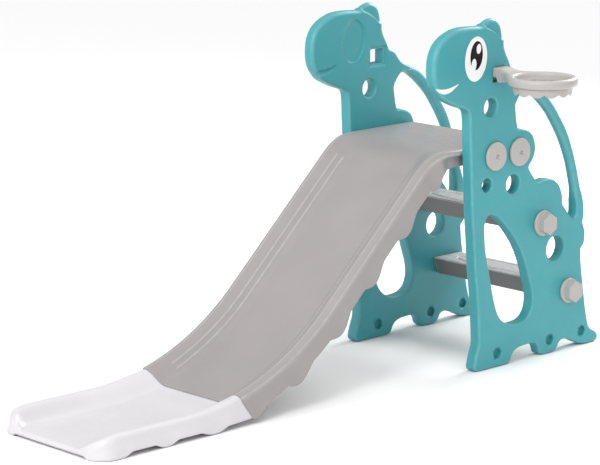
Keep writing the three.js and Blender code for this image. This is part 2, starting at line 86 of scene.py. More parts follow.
CLEAR = 0.3  # gap between pieces that touch
SIDES = (("left", -1), ("right", 1))


# ---------------------------------------------------------------- colours
def linear(code):
    """sRGB hex code to linear RGB: c/12.92 below 0.04045, else ((c + 0.055)/1.055)^2.4."""
    c = np.array([int(code[i:i + 2], 16) for i in (0, 2, 4)]) / 255
    return tuple(np.where(c <= 0.04045, c / 12.92, ((c + 0.055) / 1.055) ** 2.4))


def length_property(name, description, millimetres):
    """A length with its default in millimetres."""
    return FloatProperty(
        name=name, description=description, default=millimetres * MM, min=0.0, unit="LENGTH", precision=4
    )


def colour_property(name, description, code):
    """A colour with its default as an sRGB hex code."""
    return FloatVectorProperty(
        name=name, description=description, default=linear(code), size=3, min=0.0, max=1.0, subtype="COLOR"
    )


class SlideSizes(bpy.types.PropertyGroup):
    """Sizes of the moulded detail."""

    edge: length_property("Panel edge", "Rounding of the panels' edges", 7)
    hole_edge: length_property("Hole edge", "Rounding of the edges of the panels' holes", 5.5)
    head_edge: length_property("Head edge", "Rounding of the heads' edges", 12.5)
    handle: length_property("Handle", "Diameter of the round handles", 29)
    ledge: length_property("Ear ledge", "How far the ears stand back from the heads", 7)
    relief: length_property("Face relief", "Depth of the moulded eye and mouth", 3)
    parting: length_property("Parting line", "Height of the mould's parting line", 0.35)
    bead: length_property("Chute beads", "Height of the two beads along each wall of the chute", 1.8)
    slant: length_property("Seam slant", "How far the seam runs back down the skirt", 15)
    seam_step: length_property("Seam step", "How far the exit lies below the chute's end", 3)
    groove: length_property("Step groove", "Depth of the oval groove in a step", 3.2)
    grip: length_property("Screw ridge", "Height of the ridge across a round screw head", 3.6)


class SlideColours(bpy.types.PropertyGroup):
    """Colours of the plastics and prints."""

    panel: colour_property("Panels", "Side panels", "369299")
    chute: colour_property("Chute", "Deck and chute", "928d8d")
    exit: colour_property("Exit", "Exit of the chute", "c8c6c9")
    step: colour_property("Steps", "Both steps", "7c7979")
    fitting: colour_property("Fittings", "Screws and ball hoop", "a8a3a0")
    print_white: colour_property("Print white", "White of the eyes and mouth", "e8e8e7")
    print_black: colour_property("Print black", "Pupils", "050505")
    zinc: colour_property("Zinc", "Joining screws", "b9bcc0")
    floor: colour_property("Floor", "Studio floor", "f4f4f4")


class Millimetres:
    """The scene's slide sizes, each read in millimetres."""

    def __getattr__(self, name):
        return getattr(bpy.context.scene.slide_sizes, name) / MM


mm = Millimetres()


# ---------------------------------------------------------------- curves in a plane, as complex numbers
def smooth_step(t):
    """0 below 0, 1 above 1, and 3t^2 - 2t^3 between."""
    t = np.clip(t, 0, 1)
    return t * t * (3 - 2 * t)


def mix(a, b, t):
    """The value the share t of the way from a to b."""
    return a + (b - a) * t


def through(points, steps=12):
    """Smooth curve through points: between each two, the cubic whose end slopes are half the step from the
    point before to the point after. The last point is left out."""
    p = np.array([complex(x, z) for x, z in points])
    before = np.concatenate([p[:1], p[:-2]])
    after = np.concatenate([p[2:], p[-1:]])
    a, b = p[:-1, None], p[1:, None]
    slope_a, slope_b = (b - before[:, None]) / 2, (after[:, None] - a) / 2
    t = np.arange(steps) / steps
    curve = (2 * a - 2 * b + slope_a + slope_b) * t**3 + (3 * b - 3 * a - 2 * slope_a - slope_b) * t**2
    return (curve + slope_a * t + a).ravel()


def creased(start, *stretches):
    """Closed curve of smooth stretches with a crease between each two."""
    corner, curves = start, []
    for stretch in stretches:
        curves.append(through([corner, *stretch]))
        corner = stretch[-1]
    if corner != start:
        curves.append(through([corner, start]))
    return np.concatenate(curves)


def blurred(values, spread):
    """A closed row of values after a Gaussian blur whose spread is given in samples."""
    waves = np.fft.fft(values) * np.exp(-2 * (np.pi * np.fft.fftfreq(len(values)) * spread) ** 2)
    return np.fft.ifft(waves) if np.iscomplexobj(values) else np.fft.ifft(waves).real


def even_loop(curve, spacing, soften=0.0):
    """A closed curve as points at equal steps along it, its corners softened by a blur."""
    closed = np.append(curve, curve[0])
    run = np.concatenate([[0], np.cumsum(np.abs(np.diff(closed)))])
    count = int(round(run[-1] / spacing))
    at = np.arange(count) * run[-1] / count
    loop = np.interp(at, run, closed.real) + 1j * np.interp(at, run, closed.imag)
    return blurred(loop, soften / spacing) if soften else loop


def ellipse(centre, half_wide, half_high, tilt=0.0, count=96):
    """Points of an ellipse, turned anticlockwise by tilt."""
    turn = np.arange(count) / count * 2 * np.pi
    return centre + (half_wide * np.cos(turn) + 1j * half_high * np.sin(turn)) * np.exp(1j * tilt)


def inward(loop, hole):
    """Unit normals from a loop's edge into the material: to the left of an anticlockwise outline."""
    ahead = np.roll(loop, -1) - np.roll(loop, 1)
    area = (np.conj(loop) * np.roll(loop, -1)).imag.sum()
    return 1j * ahead / np.abs(ahead) * np.sign(area) * (-1 if hole else 1)


def fitted(loop, normal, width):
    """A fillet's width along a loop, kept under 0.55 of the radius where the edge curls round the material,
    blurred over 5 mm, and nowhere more than 0.75 of that radius."""
    step = np.abs(np.roll(loop, -1) - np.roll(loop, 1)) / 2
    bend = (np.conj(normal) * (np.roll(loop, -1) - 2 * loop + np.roll(loop, 1))).real / step**2
    bend = np.maximum(bend, 1e-3)
    return np.minimum(blurred(np.minimum(width, 0.55 / bend), 5 / step.mean()), 0.75 / bend)


def clear_of(points, others, gap):
    """The points further than gap from every one of the others, found a block at a time."""
    blocks = np.array_split(points, len(points) // 400 + 1)
    return np.concatenate([b[np.abs(b[:, None] - others).min(axis=1) > gap] for b in blocks])


# ---------------------------------------------------------------- surfaces
def upright(out=1, level=0.0, centre=0j):
    """A place function for an upright plane that runs lengthways: x and z are the plane point's from a
    centre, and y is the height above a level, counted outwards."""
    def place(p, height):
        spots = p + centre
        return np.stack([spots.real, out * (level + height), spots.imag], -1)

    return place


class Skin:
    """Gathers the points and faces of one closed surface, and each point's paling: wear and painted
    highlight.
    """

    def __init__(self):
        self.points, self.rub, self.faces, self.count = [], [], [], 0

    def add(self, points, rub=0.0):
        """Adds points, the last axis x, y and z, and gives their numbers in the same layout."""
        flat = np.asarray(points, float).reshape(-1, 3)
        numbers = np.arange(self.count, self.count + len(flat)).reshape(points.shape[:-1])
        self.points.append(flat)
        self.rub.append(np.broadcast_to(rub, numbers.shape).ravel())
        self.count += len(flat)
        return numbers

    def quads(self, grid, close_rows=False, close_columns=False):
        """Joins the neighbours of a numbered grid with four-sided faces."""
        if close_rows:
            grid = np.concatenate([grid, grid[:1]])
        if close_columns:
            grid = np.concatenate([grid, grid[:, :1]], axis=1)
        corners = [grid[:-1, :-1], grid[:-1, 1:], grid[1:, 1:], grid[1:, :-1]]
        self.faces.append(np.stack(corners, -1).reshape(-1, 4))

    def fan(self, ring, centre):
        """Joins a closed ring to one point with triangles."""
        tip = self.add(np.asarray(centre, float)[None])[0]
        self.faces.append(np.stack([ring, np.roll(ring, -1), np.full(len(ring), tip)], -1))


def within(points, loops):
    """Whether each point lies inside an odd number of closed loops, by the edges crossed on the way to +x."""
    inside = np.zeros(len(points), bool)
    for loop in loops:
        a, b = loop[:, None], np.roll(loop, -1)[:, None]
        spans = (a.imag > points.imag) != (b.imag > points.imag)
        rise = np.where(spans, b.imag - a.imag, 1)
        crossing = a.real + (points.imag - a.imag) / rise * (b.real - a.real)
        inside ^= (spans & (points.real < crossing)).sum(axis=0) % 2 == 1
    return inside


def flat_fill(skin, rims, place, height, pitch, creases=()):
    """Fills the face between closed rims, the outer one first, with triangles over an even lattice. rims are
    (plane points, point numbers), and rows of crease points give fine relief its own edges."""
    edge = np.concatenate([points for points, _ in rims])
    numbers = np.concatenate([ids for _, ids in rims])
    fine = [clear_of(row, edge, 1.2) for row in creases]
    kept = np.concatenate([edge, *fine])
    rows = np.arange(edge.imag.min(), edge.imag.max(), pitch * 0.866)
    columns = np.arange(edge.real.min(), edge.real.max(), pitch)
    lattice = columns + 1j * rows[:, None] + (np.arange(len(rows)) % 2 * pitch / 2)[:, None]
    points = np.concatenate([kept, clear_of(lattice.ravel(), kept, pitch * 0.6)])
    starts = np.cumsum([0] + [len(p) for p, _ in rims])
    edges = [(i, i + 1 if i + 1 < b else a) for a, b in zip(starts[:-1], starts[1:]) for i in range(a, b)]
    made = geometry.delaunay_2d_cdt([Vector((p.real, p.imag)) for p in points], edges, [], 0, 1e-6)
    corners = np.array(made[2])
    source = np.array([ids[0] if ids else -1 for ids in made[3]])
    plane = np.array([complex(v.x, v.y) for v in made[0]])
    corners = corners[within(plane[corners].mean(axis=1), [rim for rim, _ in rims])]
    target = np.where((source >= 0) & (source < len(edge)), numbers[np.clip(source, 0, len(edge) - 1)], -1)
    fresh = np.setdiff1d(np.unique(corners), np.flatnonzero(target >= 0))
    target[fresh] = skin.add(place(plane[fresh], height(plane[fresh])))
    skin.faces.append(target[corners])


FILLET = np.linspace(np.pi / 2, 0, 8)  # from the face down to the wall


def edge_rows(loop, hole, top, bottom, width, depth, ridge, wall):
    """Rows of plane points, heights and paling that carry a loop's rounded edge from its top face to its
    bottom
    face: a quarter ellipse, the wall with the mould's parting line, and a quarter ellipse. The paling,
    fullest half way round each quarter ellipse, is wear and a painted highlight along the edge."""
    normal = inward(loop, hole)
    wide = fitted(loop, normal, np.broadcast_to(width, loop.shape).astype(float))
    deep = depth * wide / width
    face = loop + normal * wide
    high, low = top(face), bottom(face)
    curl = FILLET[:, None]
    across = wide * (1 - np.cos(curl))
    down = deep * (1 - np.sin(curl))
    middle = wall[1:-1, None]
    straight = mix(high - deep, low + deep, middle)
    bulge = -ridge * np.exp(-((middle - 0.5) * (high - low - 2 * deep) / 0.7) ** 2)
    inset = np.concatenate([across, bulge + 0 * straight, across[::-1]])
    height = np.concatenate([high - down, straight, (low + down)[::-1]])
    # paling half way round each quarter ellipse: wear, and a painted highlight along the rounded edge
    edge_share = np.concatenate([np.sin(2 * curl), 0 * middle, np.sin(2 * curl)[::-1]])
    return loop + normal * inset, height, edge_share + 0 * height


WALL = np.array([0, 0.3, 0.45, 0.48, 0.5, 0.52, 0.55, 0.7, 1])
PIT_LIP = 3.0  # rounding of a blind hole's edge
PIT_FLOOR = 2.0  # rounding of its floor


def pit(skin, centre, radius, depth, face, sign, place):
    """A round blind hole: rows from the rounded lip down the wall to the floor and its middle, which is
    closed. Gives the lip."""
    turn = np.exp(1j * np.arange(40) / 40 * 2 * np.pi)
    curl = np.linspace(np.pi / 2, 0, 5)
    lip, floor = PIT_LIP * (1 - np.cos(curl)), PIT_FLOOR * (1 - np.cos(curl[::-1]))
    lip_drop, floor_rise = PIT_LIP * (1 - np.sin(curl)), PIT_FLOOR * (1 - np.sin(curl[::-1]))
    radii = np.concatenate([radius + PIT_LIP - lip, radius - floor, [radius / 2]])
    drops = np.concatenate([lip_drop, depth - floor_rise, [depth]])
    plane = centre + radii[:, None] * turn
    level = face(centre + (radius + PIT_LIP) * turn)
    grid = skin.add(place(plane, level - sign * drops[:, None]))
    skin.quads(grid, close_columns=True)
    skin.fan(grid[-1], place(np.array([centre]), face(np.array([centre])) - sign * depth)[0])
    return plane[0], grid[0]


def plate(place, outline, holes, top, bottom, width, depth, pitch,
          pits=(), creases=((), ()), ridge=0.0, wall=WALL, shape=None):
    """A moulded plate: rounded edges round an outline and its holes, and two filled faces. place turns plane
    points and heights into x, y and z, and pits are (centre, radius, depth, face) with face 0 the top."""
    skin = Skin()
    rims = ([], [])
    for i, loop in enumerate([outline, *holes]):
        wide, deep = width(loop), depth(loop)
        plane, height, rub = edge_rows(loop, i > 0, top, bottom, wide, deep, ridge, wall)
        spots = place(plane, height)
        grid = skin.add(spots if shape is None else shape(spots), rub)
        skin.quads(grid, close_columns=True)
        rims[0].append((plane[0], grid[0]))
        rims[1].append((plane[-1], grid[-1]))
    for centre, radius, deep, which in pits:
        rims[which].append(pit(skin, centre, radius, deep, (top, bottom)[which], (1, -1)[which], place))
    for which, face in enumerate((top, bottom)):
        flat_fill(skin, rims[which], place, face, pitch, creases[which])
    return skin


# ---------------------------------------------------------------- materials
def add_node(tree, kind, sockets=None, **settings):
    """Adds a node, sets its properties, and sets or links its inputs."""
    node = tree.nodes.new(kind)
    for name, value in settings.items():
        setattr(node, name, value)
    for name, value in (sockets or {}).items():
        if isinstance(value, bpy.types.NodeSocket):
            tree.links.new(value, node.inputs[name])
        else:
            node.inputs[name].default_value = value
    return node


def per_metre(millimetres):
    """Noise scale whose features are that many millimetres across."""
    return 1 / (millimetres * MM)


def bare_material(name):
    """A named material and its emptied node tree."""
    material = bpy.data.materials.get(name) or bpy.data.materials.new(name)
    material.use_nodes = True
    material.node_tree.nodes.clear()
    return material, material.node_tree


def opaque(colour, share=1.0):
    """A share of a colour, at most 1, with full alpha."""
    return tuple(min(1.0, share * c) for c in colour) + (1.0,)


def moulded_plastic(name, colour, roughness, peel, grain, peel_height, rub):
    """Thermoplastic from a mould: satin, a little waved like orange peel, faintly mottled where the wall
    cooled unevenly, and paler where each point's paling is set: along rounded edges as wear and painted
    highlight, in painted highlight lines along the chute's rim and beads, and over the step tops as painted
    highlight. peel and grain are millimetres."""
    material, tree = bare_material(name)
    place = add_node(tree, "ShaderNodeTexCoord").outputs["Object"]
    cloud = add_node(tree, "ShaderNodeTexNoise", {"Vector": place, "Scale": per_metre(140), "Detail": 3.0})
    scuff = add_node(tree, "ShaderNodeTexNoise", {"Vector": place, "Scale": per_metre(18), "Detail": 5.0})
    waves = add_node(tree, "ShaderNodeTexNoise", {"Vector": place, "Scale": per_metre(peel), "Detail": 2.0})
    pebble = add_node(tree, "ShaderNodeTexVoronoi", {"Vector": place, "Scale": per_metre(grain)})
    # per-point paling: wear on rounded edges, painted highlights on the chute's lines and the step tops
    edge = add_node(tree, "ShaderNodeAttribute", attribute_name="rub")
    tone = add_node(tree, "ShaderNodeMapRange", {
        "Value": cloud.outputs["Fac"], "From Min": 0.3, "From Max": 0.7, "To Min": 0.0, "To Max": 1.0})
    mottled = add_node(tree, "ShaderNodeMix", {
        "Factor": tone.outputs["Result"], "A": opaque(colour, 0.965), "B": opaque(colour, 1.03)},
        data_type="RGBA")
    # share of paling: the point's wear and painted highlight, broken up by scuff noise and scaled per plastic
    wear_and_highlight_share = add_node(tree, "ShaderNodeMath", {0: edge.outputs["Fac"], 1: scuff.outputs["Fac"]},
                    operation="MULTIPLY")
    wear_and_highlight_share = add_node(tree, "ShaderNodeMath", {0: wear_and_highlight_share.outputs[0], 1: rub}, operation="MULTIPLY")
    # the pale tone that wear and painted highlight blend towards
    pale = opaque([mix(c, 1.0, 0.35) for c in colour])
    worn_and_highlit = add_node(tree, "ShaderNodeMix", {
        "Factor": wear_and_highlight_share.outputs[0], "A": mottled.outputs["Result"], "B": pale}, data_type="RGBA")
    gloss = add_node(tree, "ShaderNodeMapRange", {
        "Value": scuff.outputs["Fac"], "From Min": 0.3, "From Max": 0.7,
        "To Min": roughness - 0.05, "To Max": roughness + 0.07})
    grainy = add_node(tree, "ShaderNodeBump", {
        "Height": pebble.outputs["Distance"], "Distance": 0.03 * MM, "Strength": 0.4})
    bumpy = add_node(tree, "ShaderNodeBump", {
        "Height": waves.outputs["Fac"], "Distance": peel_height * MM, "Strength": 1.0,
        "Normal": grainy.outputs["Normal"]})
    surface = add_node(tree, "ShaderNodeBsdfPrincipled", {
        "Base Color": worn_and_highlit.outputs["Result"], "Roughness": gloss.outputs["Result"], "IOR": 1.53,
        "Normal": bumpy.outputs["Normal"]})
    add_node(tree, "ShaderNodeOutputMaterial", {"Surface": surface.outputs["BSDF"]})
    return material


def printed_vinyl(name, colour):
    """Printed self-adhesive vinyl: even colour under a smooth film, a little glossier than the moulding."""
    material, tree = bare_material(name)
    place = add_node(tree, "ShaderNodeTexCoord").outputs["Object"]
    film = add_node(tree, "ShaderNodeTexNoise", {"Vector": place, "Scale": per_metre(9), "Detail": 2.0})
    gloss = add_node(tree, "ShaderNodeMapRange", {
        "Value": film.outputs["Fac"], "To Min": 0.26, "To Max": 0.38})
    tint = add_node(tree, "ShaderNodeMix", {
        "Factor": film.outputs["Fac"], "A": opaque(colour, 0.95), "B": opaque(colour)}, data_type="RGBA")
    bumpy = add_node(tree, "ShaderNodeBump", {"Height": film.outputs["Fac"], "Distance": 0.03 * MM})
    surface = add_node(tree, "ShaderNodeBsdfPrincipled", {
        "Base Color": tint.outputs["Result"], "Roughness": gloss.outputs["Result"], "IOR": 1.4,
        "Specular IOR Level": 0.3, "Normal": bumpy.outputs["Normal"]})
    add_node(tree, "ShaderNodeOutputMaterial", {"Surface": surface.outputs["BSDF"]})
    return material


def zinc_plate(name, colour):
    """Bright zinc plating on a steel screw: metallic, with the fine clouding of the plating bath."""
    material, tree = bare_material(name)
    place = add_node(tree, "ShaderNodeTexCoord").outputs["Object"]
    cloud = add_node(tree, "ShaderNodeTexNoise", {"Vector": place, "Scale": per_metre(3), "Detail": 4.0})
    gloss = add_node(tree, "ShaderNodeMapRange", {
        "Value": cloud.outputs["Fac"], "To Min": 0.25, "To Max": 0.5})
    tint = add_node(tree, "ShaderNodeMix", {
        "Factor": cloud.outputs["Fac"], "A": opaque(colour, 0.85), "B": opaque(colour)}, data_type="RGBA")
    surface = add_node(tree, "ShaderNodeBsdfPrincipled", {
        "Base Color": tint.outputs["Result"], "Metallic": 1.0, "Roughness": gloss.outputs["Result"]})
    add_node(tree, "ShaderNodeOutputMaterial", {"Surface": surface.outputs["BSDF"]})
    return material


def matt_floor(name, colour):
    """Matt painted studio floor: no gloss to speak of and a barely visible roller texture."""
    material, tree = bare_material(name)
    place = add_node(tree, "ShaderNodeTexCoord").outputs["Object"]
    roller = add_node(tree, "ShaderNodeTexNoise", {"Vector": place, "Scale": per_metre(30), "Detail": 2.0})
    tint = add_node(tree, "ShaderNodeMix", {
        "Factor": roller.outputs["Fac"], "A": opaque(colour, 0.99), "B": opaque(colour)}, data_type="RGBA")
    surface = add_node(tree, "ShaderNodeBsdfPrincipled", {
        "Base Color": tint.outputs["Result"], "Roughness": 0.9, "Specular IOR Level": 0.1})
    add_node(tree, "ShaderNodeOutputMaterial", {"Surface": surface.outputs["BSDF"]})
    return material


PLASTICS = {  # name, roughness, width of the peel and of the grain, height of the peel, paling where rubbed and where highlight is painted
    "panel": ("blow_moulded_polyethylene_teal", 0.42, 7, 1.6, 0.12, 0.25),
    "chute": ("blow_moulded_polyethylene_warm_grey", 0.36, 8, 1.6, 0.12, 0.8),
    "exit": ("blow_moulded_polyethylene_white", 0.36, 8, 1.6, 0.12, 0.25),
    "step": ("blow_moulded_polyethylene_dark_grey", 0.45, 6, 1.6, 0.12, 1.8),
    "fitting": ("injection_moulded_polypropylene_pale_grey", 0.38, 5, 1.2, 0.05, 0.25),
}


def finish(kind):
    """The material for one of the slide's plastics and prints."""
    colours = bpy.context.scene.slide_colours
    if kind in PLASTICS:
        name, *feel = PLASTICS[kind]
        return moulded_plastic(name, getattr(colours, kind), *feel)
    if kind == "zinc":
        return zinc_plate("zinc_plated_steel", colours.zinc)
    return printed_vinyl(f"printed_vinyl_{kind}", getattr(colours, f"print_{kind}"))


def make_piece(name, skin, kind, body="root", nodes=()):
    """Makes a skin into a smooth-shaded object that rides on a body of the frame, and says where one isn't
    closed."""
    mesh = bpy.data.meshes.new(name)
    faces = [face for block in skin.faces for face in block.tolist()]
    mesh.from_pydata(((np.concatenate(skin.points) + ORIGIN) * MM).tolist(), [], faces)
    # each point's paling, read by the plastics: wear on edges, and painted highlight
    rub = mesh.attributes.new("rub", "FLOAT", "POINT")
    rub.data.foreach_set("value", np.concatenate(skin.rub).astype(np.float32))
    work = bmesh.new()
    work.from_mesh(mesh)
    bmesh.ops.recalc_face_normals(work, faces=work.faces)
    open_edges = sum(1 for edge in work.edges if len(edge.link_faces) != 2)
    work.to_mesh(mesh)
    work.free()
    if open_edges:
        print(f"{name}: {open_edges} open edges")
    mesh.shade_smooth()
    piece = bpy.data.objects.new(name, mesh)
    bpy.context.scene.collection.objects.link(piece)
    mesh.materials.append(finish(kind))
    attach(piece, body)
    if nodes:
        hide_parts(*nodes)


# ---------------------------------------------------------------- side panels
def panel_outline():
    """The dinosaur's outline, clockwise from the front toe as seen from the left."""
    return creased(
        (0, 14),
        [  # front leg, chin, snout and forehead
            (7, 42), (17, 70), (17, 100), (12, 170), (6, 225), (-1, 275), (-9, 370), (-16, 440), (-21, 540),
            (-26, 630), (-29, 692), (-38, 713), (-76, 727), (-106, 740), (-132, 754), (-149, 771),
            (-162, 790), (-168, 815), (-168, 845), (-163, 868), (-150, 892), (-127, 911), (-102, 922),
            (-77, 929), (-37, 931), (18, 928),
        ],
        [(29, 937), (44, 943), (60, 945), (80, 939), (95, 922), (102, 898), (103, 868)],  # ear
        [(112, 846), (122, 826), (128, 811)],  # back of the head
        [  # first hump, running into the handle
            (139, 808), (152, 800), (163, 787), (177, 772), (192, 765), (218, 757), (252, 742), (284, 716),
            (312, 688), (337, 656), (358, 627), (376, 597), (391, 564), (404, 531), (415, 498), (425, 462),
            (433, 427), (438, 395), (439, 368), (434, 348),
        ],
        [(441, 334), (445, 318), (444, 295), (438, 282), (428, 275)],  # last hump
        [  # rear leg and its toe
            (430, 248), (434, 217), (442, 170), (450, 125), (457, 90), (465, 60), (473, 44), (487, 34),
            (500, 27), (508, 16), (505, 4), (494, 0),
        ],
        [(449, 0)],
        [(431, 5), (402, 18), (365, 29), (346, 24), (337, 10), (325, 0)],  # rear arch
        [(276, 0)],
        [(264, 7), (258, 24), (246, 37), (226, 40), (190, 39), (165, 33), (152, 22), (145, 7), (134, 0)],
        [(14, 0)],
        [(4, 4), (0, 14)],
    )


def crescent_hole():
    """The crescent between the back and the handle, edged by two humps of the back."""
    return creased(
        (149, 706),
        [
            (157, 719), (167, 731), (180, 741), (202, 738), (228, 722), (256, 700), (289, 668), (313, 637),
            (333, 608), (350, 580), (365, 549), (377, 521), (387, 488), (396, 455), (403, 422), (407, 392),
            (405, 374), (396, 365), (384, 371), (366, 391), (348, 412),
        ],
        [(346, 438), (333, 466), (309, 484), (283, 489), (262, 487), (247, 483)],
        [(230, 500), (216, 517), (206, 532)],
        [(226, 556), (233, 585), (218, 621), (186, 637), (163, 638)],
        [(156, 660), (152, 684), (149, 706)],
    )


def leg_hole():
    """The D-shaped window between the legs."""
    return creased((34, 396), [
        (38, 338), (47, 295), (60, 245), (76, 185), (92, 145), (112, 122), (140, 109), (170, 107),
        (200, 112), (220, 128), (229, 155), (227, 185), (216, 220), (195, 277), (168, 325), (129, 372),
        (88, 410), (66, 421), (46, 419), (34, 396),
    ])


# places in a panel's own plane: lengthways from the front toe, and up as the imaginary part
ROUND_HOLES = ((51 + 711j, 50), (41 + 504j, 37), (144 + 494j, 53), (320 + 292j, 70))
DECK_SCREWS = (("front", FIRST_SCREW + 579j), ("rear", 163 + 579j))
STEP_SCREWS = (("lower", 376 + 166j), ("upper", 263 + 371j))
SCREW_HOLE = 24.6  # across
DIMPLES = (89 + 37j, 302 + 38j, 435 + 41j)
DIMPLE_RADIUS, DIMPLE_DEPTH = 13.5, 11
HOOP_PLACE = 81 + 797j  # middle of the hoop's slot
SLOT_HALF = 24.3 + 20.3j
SLOT_EDGE = 2.5  # rounding of the slot's and the screw holes' edges
FRAME_PLACE, FRAME_HALF, FRAME_DEPTH = 84 + 797j, 33 + 27j, 3.0  # recess round the slot on the inner face
HANDLE_LINE = (
    (173, 757), (215, 744), (244, 729), (273, 705), (300, 678), (325, 647), (345, 617), (363, 588),
    (378, 556), (390, 526), (401, 493), (410, 458), (418, 424), (422, 393),
)
HEAD_MIDDLE, HEAD_WIDE, HEAD_HIGH = -20 + 790j, 150, 140  # ellipse that the raised face ends at
EYE_PLACE = -10.5 + 846j
EYE_HALF = (42, 59)
EYE_TILT = -0.10
MOUTH_LOW = ((-155, 780), (-144, 771), (-127, 766), (-104, 770), (-75, 787))
MOUTH_HIGH = ((-155, 782), (-140, 780), (-125, 779), (-104, 781), (-75, 788))


def handle_share(p):
    """1 on the handle and 0 elsewhere, smooth over the 60 mm at each of its ends."""
    line = through(HANDLE_LINE, 5)
    run = np.concatenate([[0], np.cumsum(np.abs(np.diff(line)))])
    gap = np.abs(np.asarray(p)[..., None] - line)
    nearest = gap.argmin(axis=-1)
    away = smooth_step((27 - gap.min(axis=-1)) / 8)
    return away * smooth_step(run[nearest] / 60) * smooth_step((run[-1] - run[nearest]) / 60)


def head_share(p):
    """1 on the head and ear, fading towards the neck."""
    return smooth_step((np.imag(p) - 745) / 35) * smooth_step((125 - np.real(p)) / 20)


def ear_drop(p):
    """How far the face stands back: 0 within the head's ellipse, the ledge's height beyond it on the ear."""
    offset = p - HEAD_MIDDLE
    beyond = (np.hypot(offset.real / HEAD_WIDE, offset.imag / HEAD_HIGH) - 1) * HEAD_HIGH
    on_ear = smooth_step((p.real - 4) / 20) * smooth_step((p.imag - 838) / 32)
    return mm.ledge * smooth_step(beyond / 4) * on_ear


def moulded_face(p):
    """Depth of the eye, the mouth and the frame round the hoop's slot, moulded into a panel's inner face."""
    offset = (p - EYE_PLACE) * np.exp(-1j * EYE_TILT)
    eye = (1 - np.hypot(offset.real / EYE_HALF[0], offset.imag / EYE_HALF[1])) * EYE_HALF[0]
    low, high = through(MOUTH_LOW), through(MOUTH_HIGH)
    mouth = np.minimum(p.imag - np.interp(p.real, low.real, low.imag),
                       np.interp(p.real, high.real, high.imag) - p.imag)
    mouth = np.where((p.real > -154) & (p.real < -76), mouth, -1)
    offset = p - FRAME_PLACE
    frame_gap = np.minimum(FRAME_HALF.real - np.abs(offset.real), FRAME_HALF.imag - np.abs(offset.imag))
    shapes = np.maximum(smooth_step(eye / 1.6), smooth_step(mouth / 1.6))
    return np.maximum(mm.relief * shapes, FRAME_DEPTH * smooth_step(frame_gap / 1.5))


def half_thickness(p):
    """Half a panel's thickness, blended to half the handle's diameter on the handle."""
    return HALF_THICK - (HALF_THICK - mm.handle / 2) * handle_share(p)


def panel_edge(p):
    """Width of the rounded edge: the panels' own, wider round the head, and a full round on the handle."""
    body = mm.edge + (mm.head_edge - mm.edge) * head_share(p)
    return mix(body, mm.handle / 2 - 0.8, handle_share(p))


def edge_depth(p):
    """Depth of the rounded edge, blended in the same way as its width."""
    body = mm.edge + (mm.head_edge - mm.edge) * 0.8 * head_share(p)
    return mix(body, mm.handle / 2 - 0.6, handle_share(p))


def rectangle(centre, half):
    """Corners of a rectangle round a centre."""
    return centre + np.array([-half, half.conjugate(), half, -half.conjugate()])


def panel_holes():
    """The loops that go right through a panel: the large holes, and then the slot and the screw holes."""
    slot = rectangle(HOOP_PLACE, SLOT_HALF)
    loops = [even_loop(crescent_hole(), 4, 3), even_loop(leg_hole(), 4, 3)]
    loops += [ellipse(place, wide / 2, wide / 2, count=int(wide * 1.1)) for place, wide in ROUND_HOLES]
    small = [even_loop(slot, 2.2, 1.6)]
    for _, place in DECK_SCREWS + STEP_SCREWS:
        small.append(ellipse(place, SCREW_HOLE / 2, SCREW_HOLE / 2, count=36))
    return loops, small


def relief_rows():
    """Rows of points along the ledge of the ear, and along the moulded eye and mouth."""
    turn = np.linspace(0.02, 0.46, 70) * np.pi
    ledge = [HEAD_MIDDLE + (HEAD_WIDE * np.cos(turn) + 1j * HEAD_HIGH * np.sin(turn)) * (1 + d / HEAD_HIGH)
             for d in (0, 1, 2, 3, 4)]
    eye = [ellipse(EYE_PLACE, EYE_HALF[0] - d, EYE_HALF[1] - d, EYE_TILT, 150) for d in (0, 0.8, 1.6)]
    low, high = through(MOUTH_LOW), through(MOUTH_HIGH)
    mouth = [row + 1j * d for row, sign in ((low, 1), (high, -1)) for d in (0, sign * 0.8, sign * 1.6)]
    frame_rows = [even_loop(rectangle(FRAME_PLACE, FRAME_HALF - d * (1 + 1j)), 2.5) for d in (0, 0.75, 1.5)]
    return ledge, ledge + eye + mouth + frame_rows


def side_panel(out):
    """One panel, its outer face on the top side of the plate."""
    loops, small = panel_holes()
    sizes = {len(loop): mm.hole_edge for loop in loops[1:]} | {len(loop): SLOT_EDGE for loop in small}

    def edge_of(p, size):
        """The outline's own size, or a hole's, told by how many points the loop has."""
        return 0 * p.real + sizes[len(p)] if len(p) in sizes else size(p)

    outer_rows, inner_rows = relief_rows()
    pits = [(spot, DIMPLE_RADIUS, DIMPLE_DEPTH, which) for spot in DIMPLES for which in (0, 1)]
    return plate(
        upright(out, PANEL_MIDDLE), even_loop(panel_outline(), 4, 3.2), loops + small,
        lambda p: half_thickness(p) - ear_drop(p),
        lambda p: ear_drop(p) + moulded_face(p) - half_thickness(p),
        lambda p: edge_of(p, panel_edge), lambda p: edge_of(p, edge_depth), 6.5,
        pits, (outer_rows, inner_rows), mm.parting,
    )


class SLIDE_OT_side_panels(bpy.types.Operator):
    """Build both dinosaur side panels"""

    bl_idname = "slide.side_panels"
    bl_label = "Side Panels"

    def execute(self, context):
        for side, out in SIDES:
            make_piece(f"{side}_panel_moulding", side_panel(out), "panel",
                       nodes=[f"{side}_side_panel"])
        return {"FINISHED"}


# ---------------------------------------------------------------- printed eyes and mouths
MOUTH_LIFTS = (0.1, 0.5)  # heights of a print's back and front above the panel
WHITE_LIFTS = (0.05, 0.35)
PUPIL_LIFTS = (0.37, 0.60)
GLINT_LIFTS = (0.62, 0.85)


def printed_plate(loop, out, low, high):
    """A thin print on a panel's outer face, between two heights above it."""
    return plate(upright(out, OUTER), loop, [], lambda p: high + 0 * p.real, lambda p: low + 0 * p.real,
                 lambda p: 0.25 + 0 * p.real, lambda p: 0.08 + 0 * p.real, 9, wall=np.array([0, 0.5, 1]))


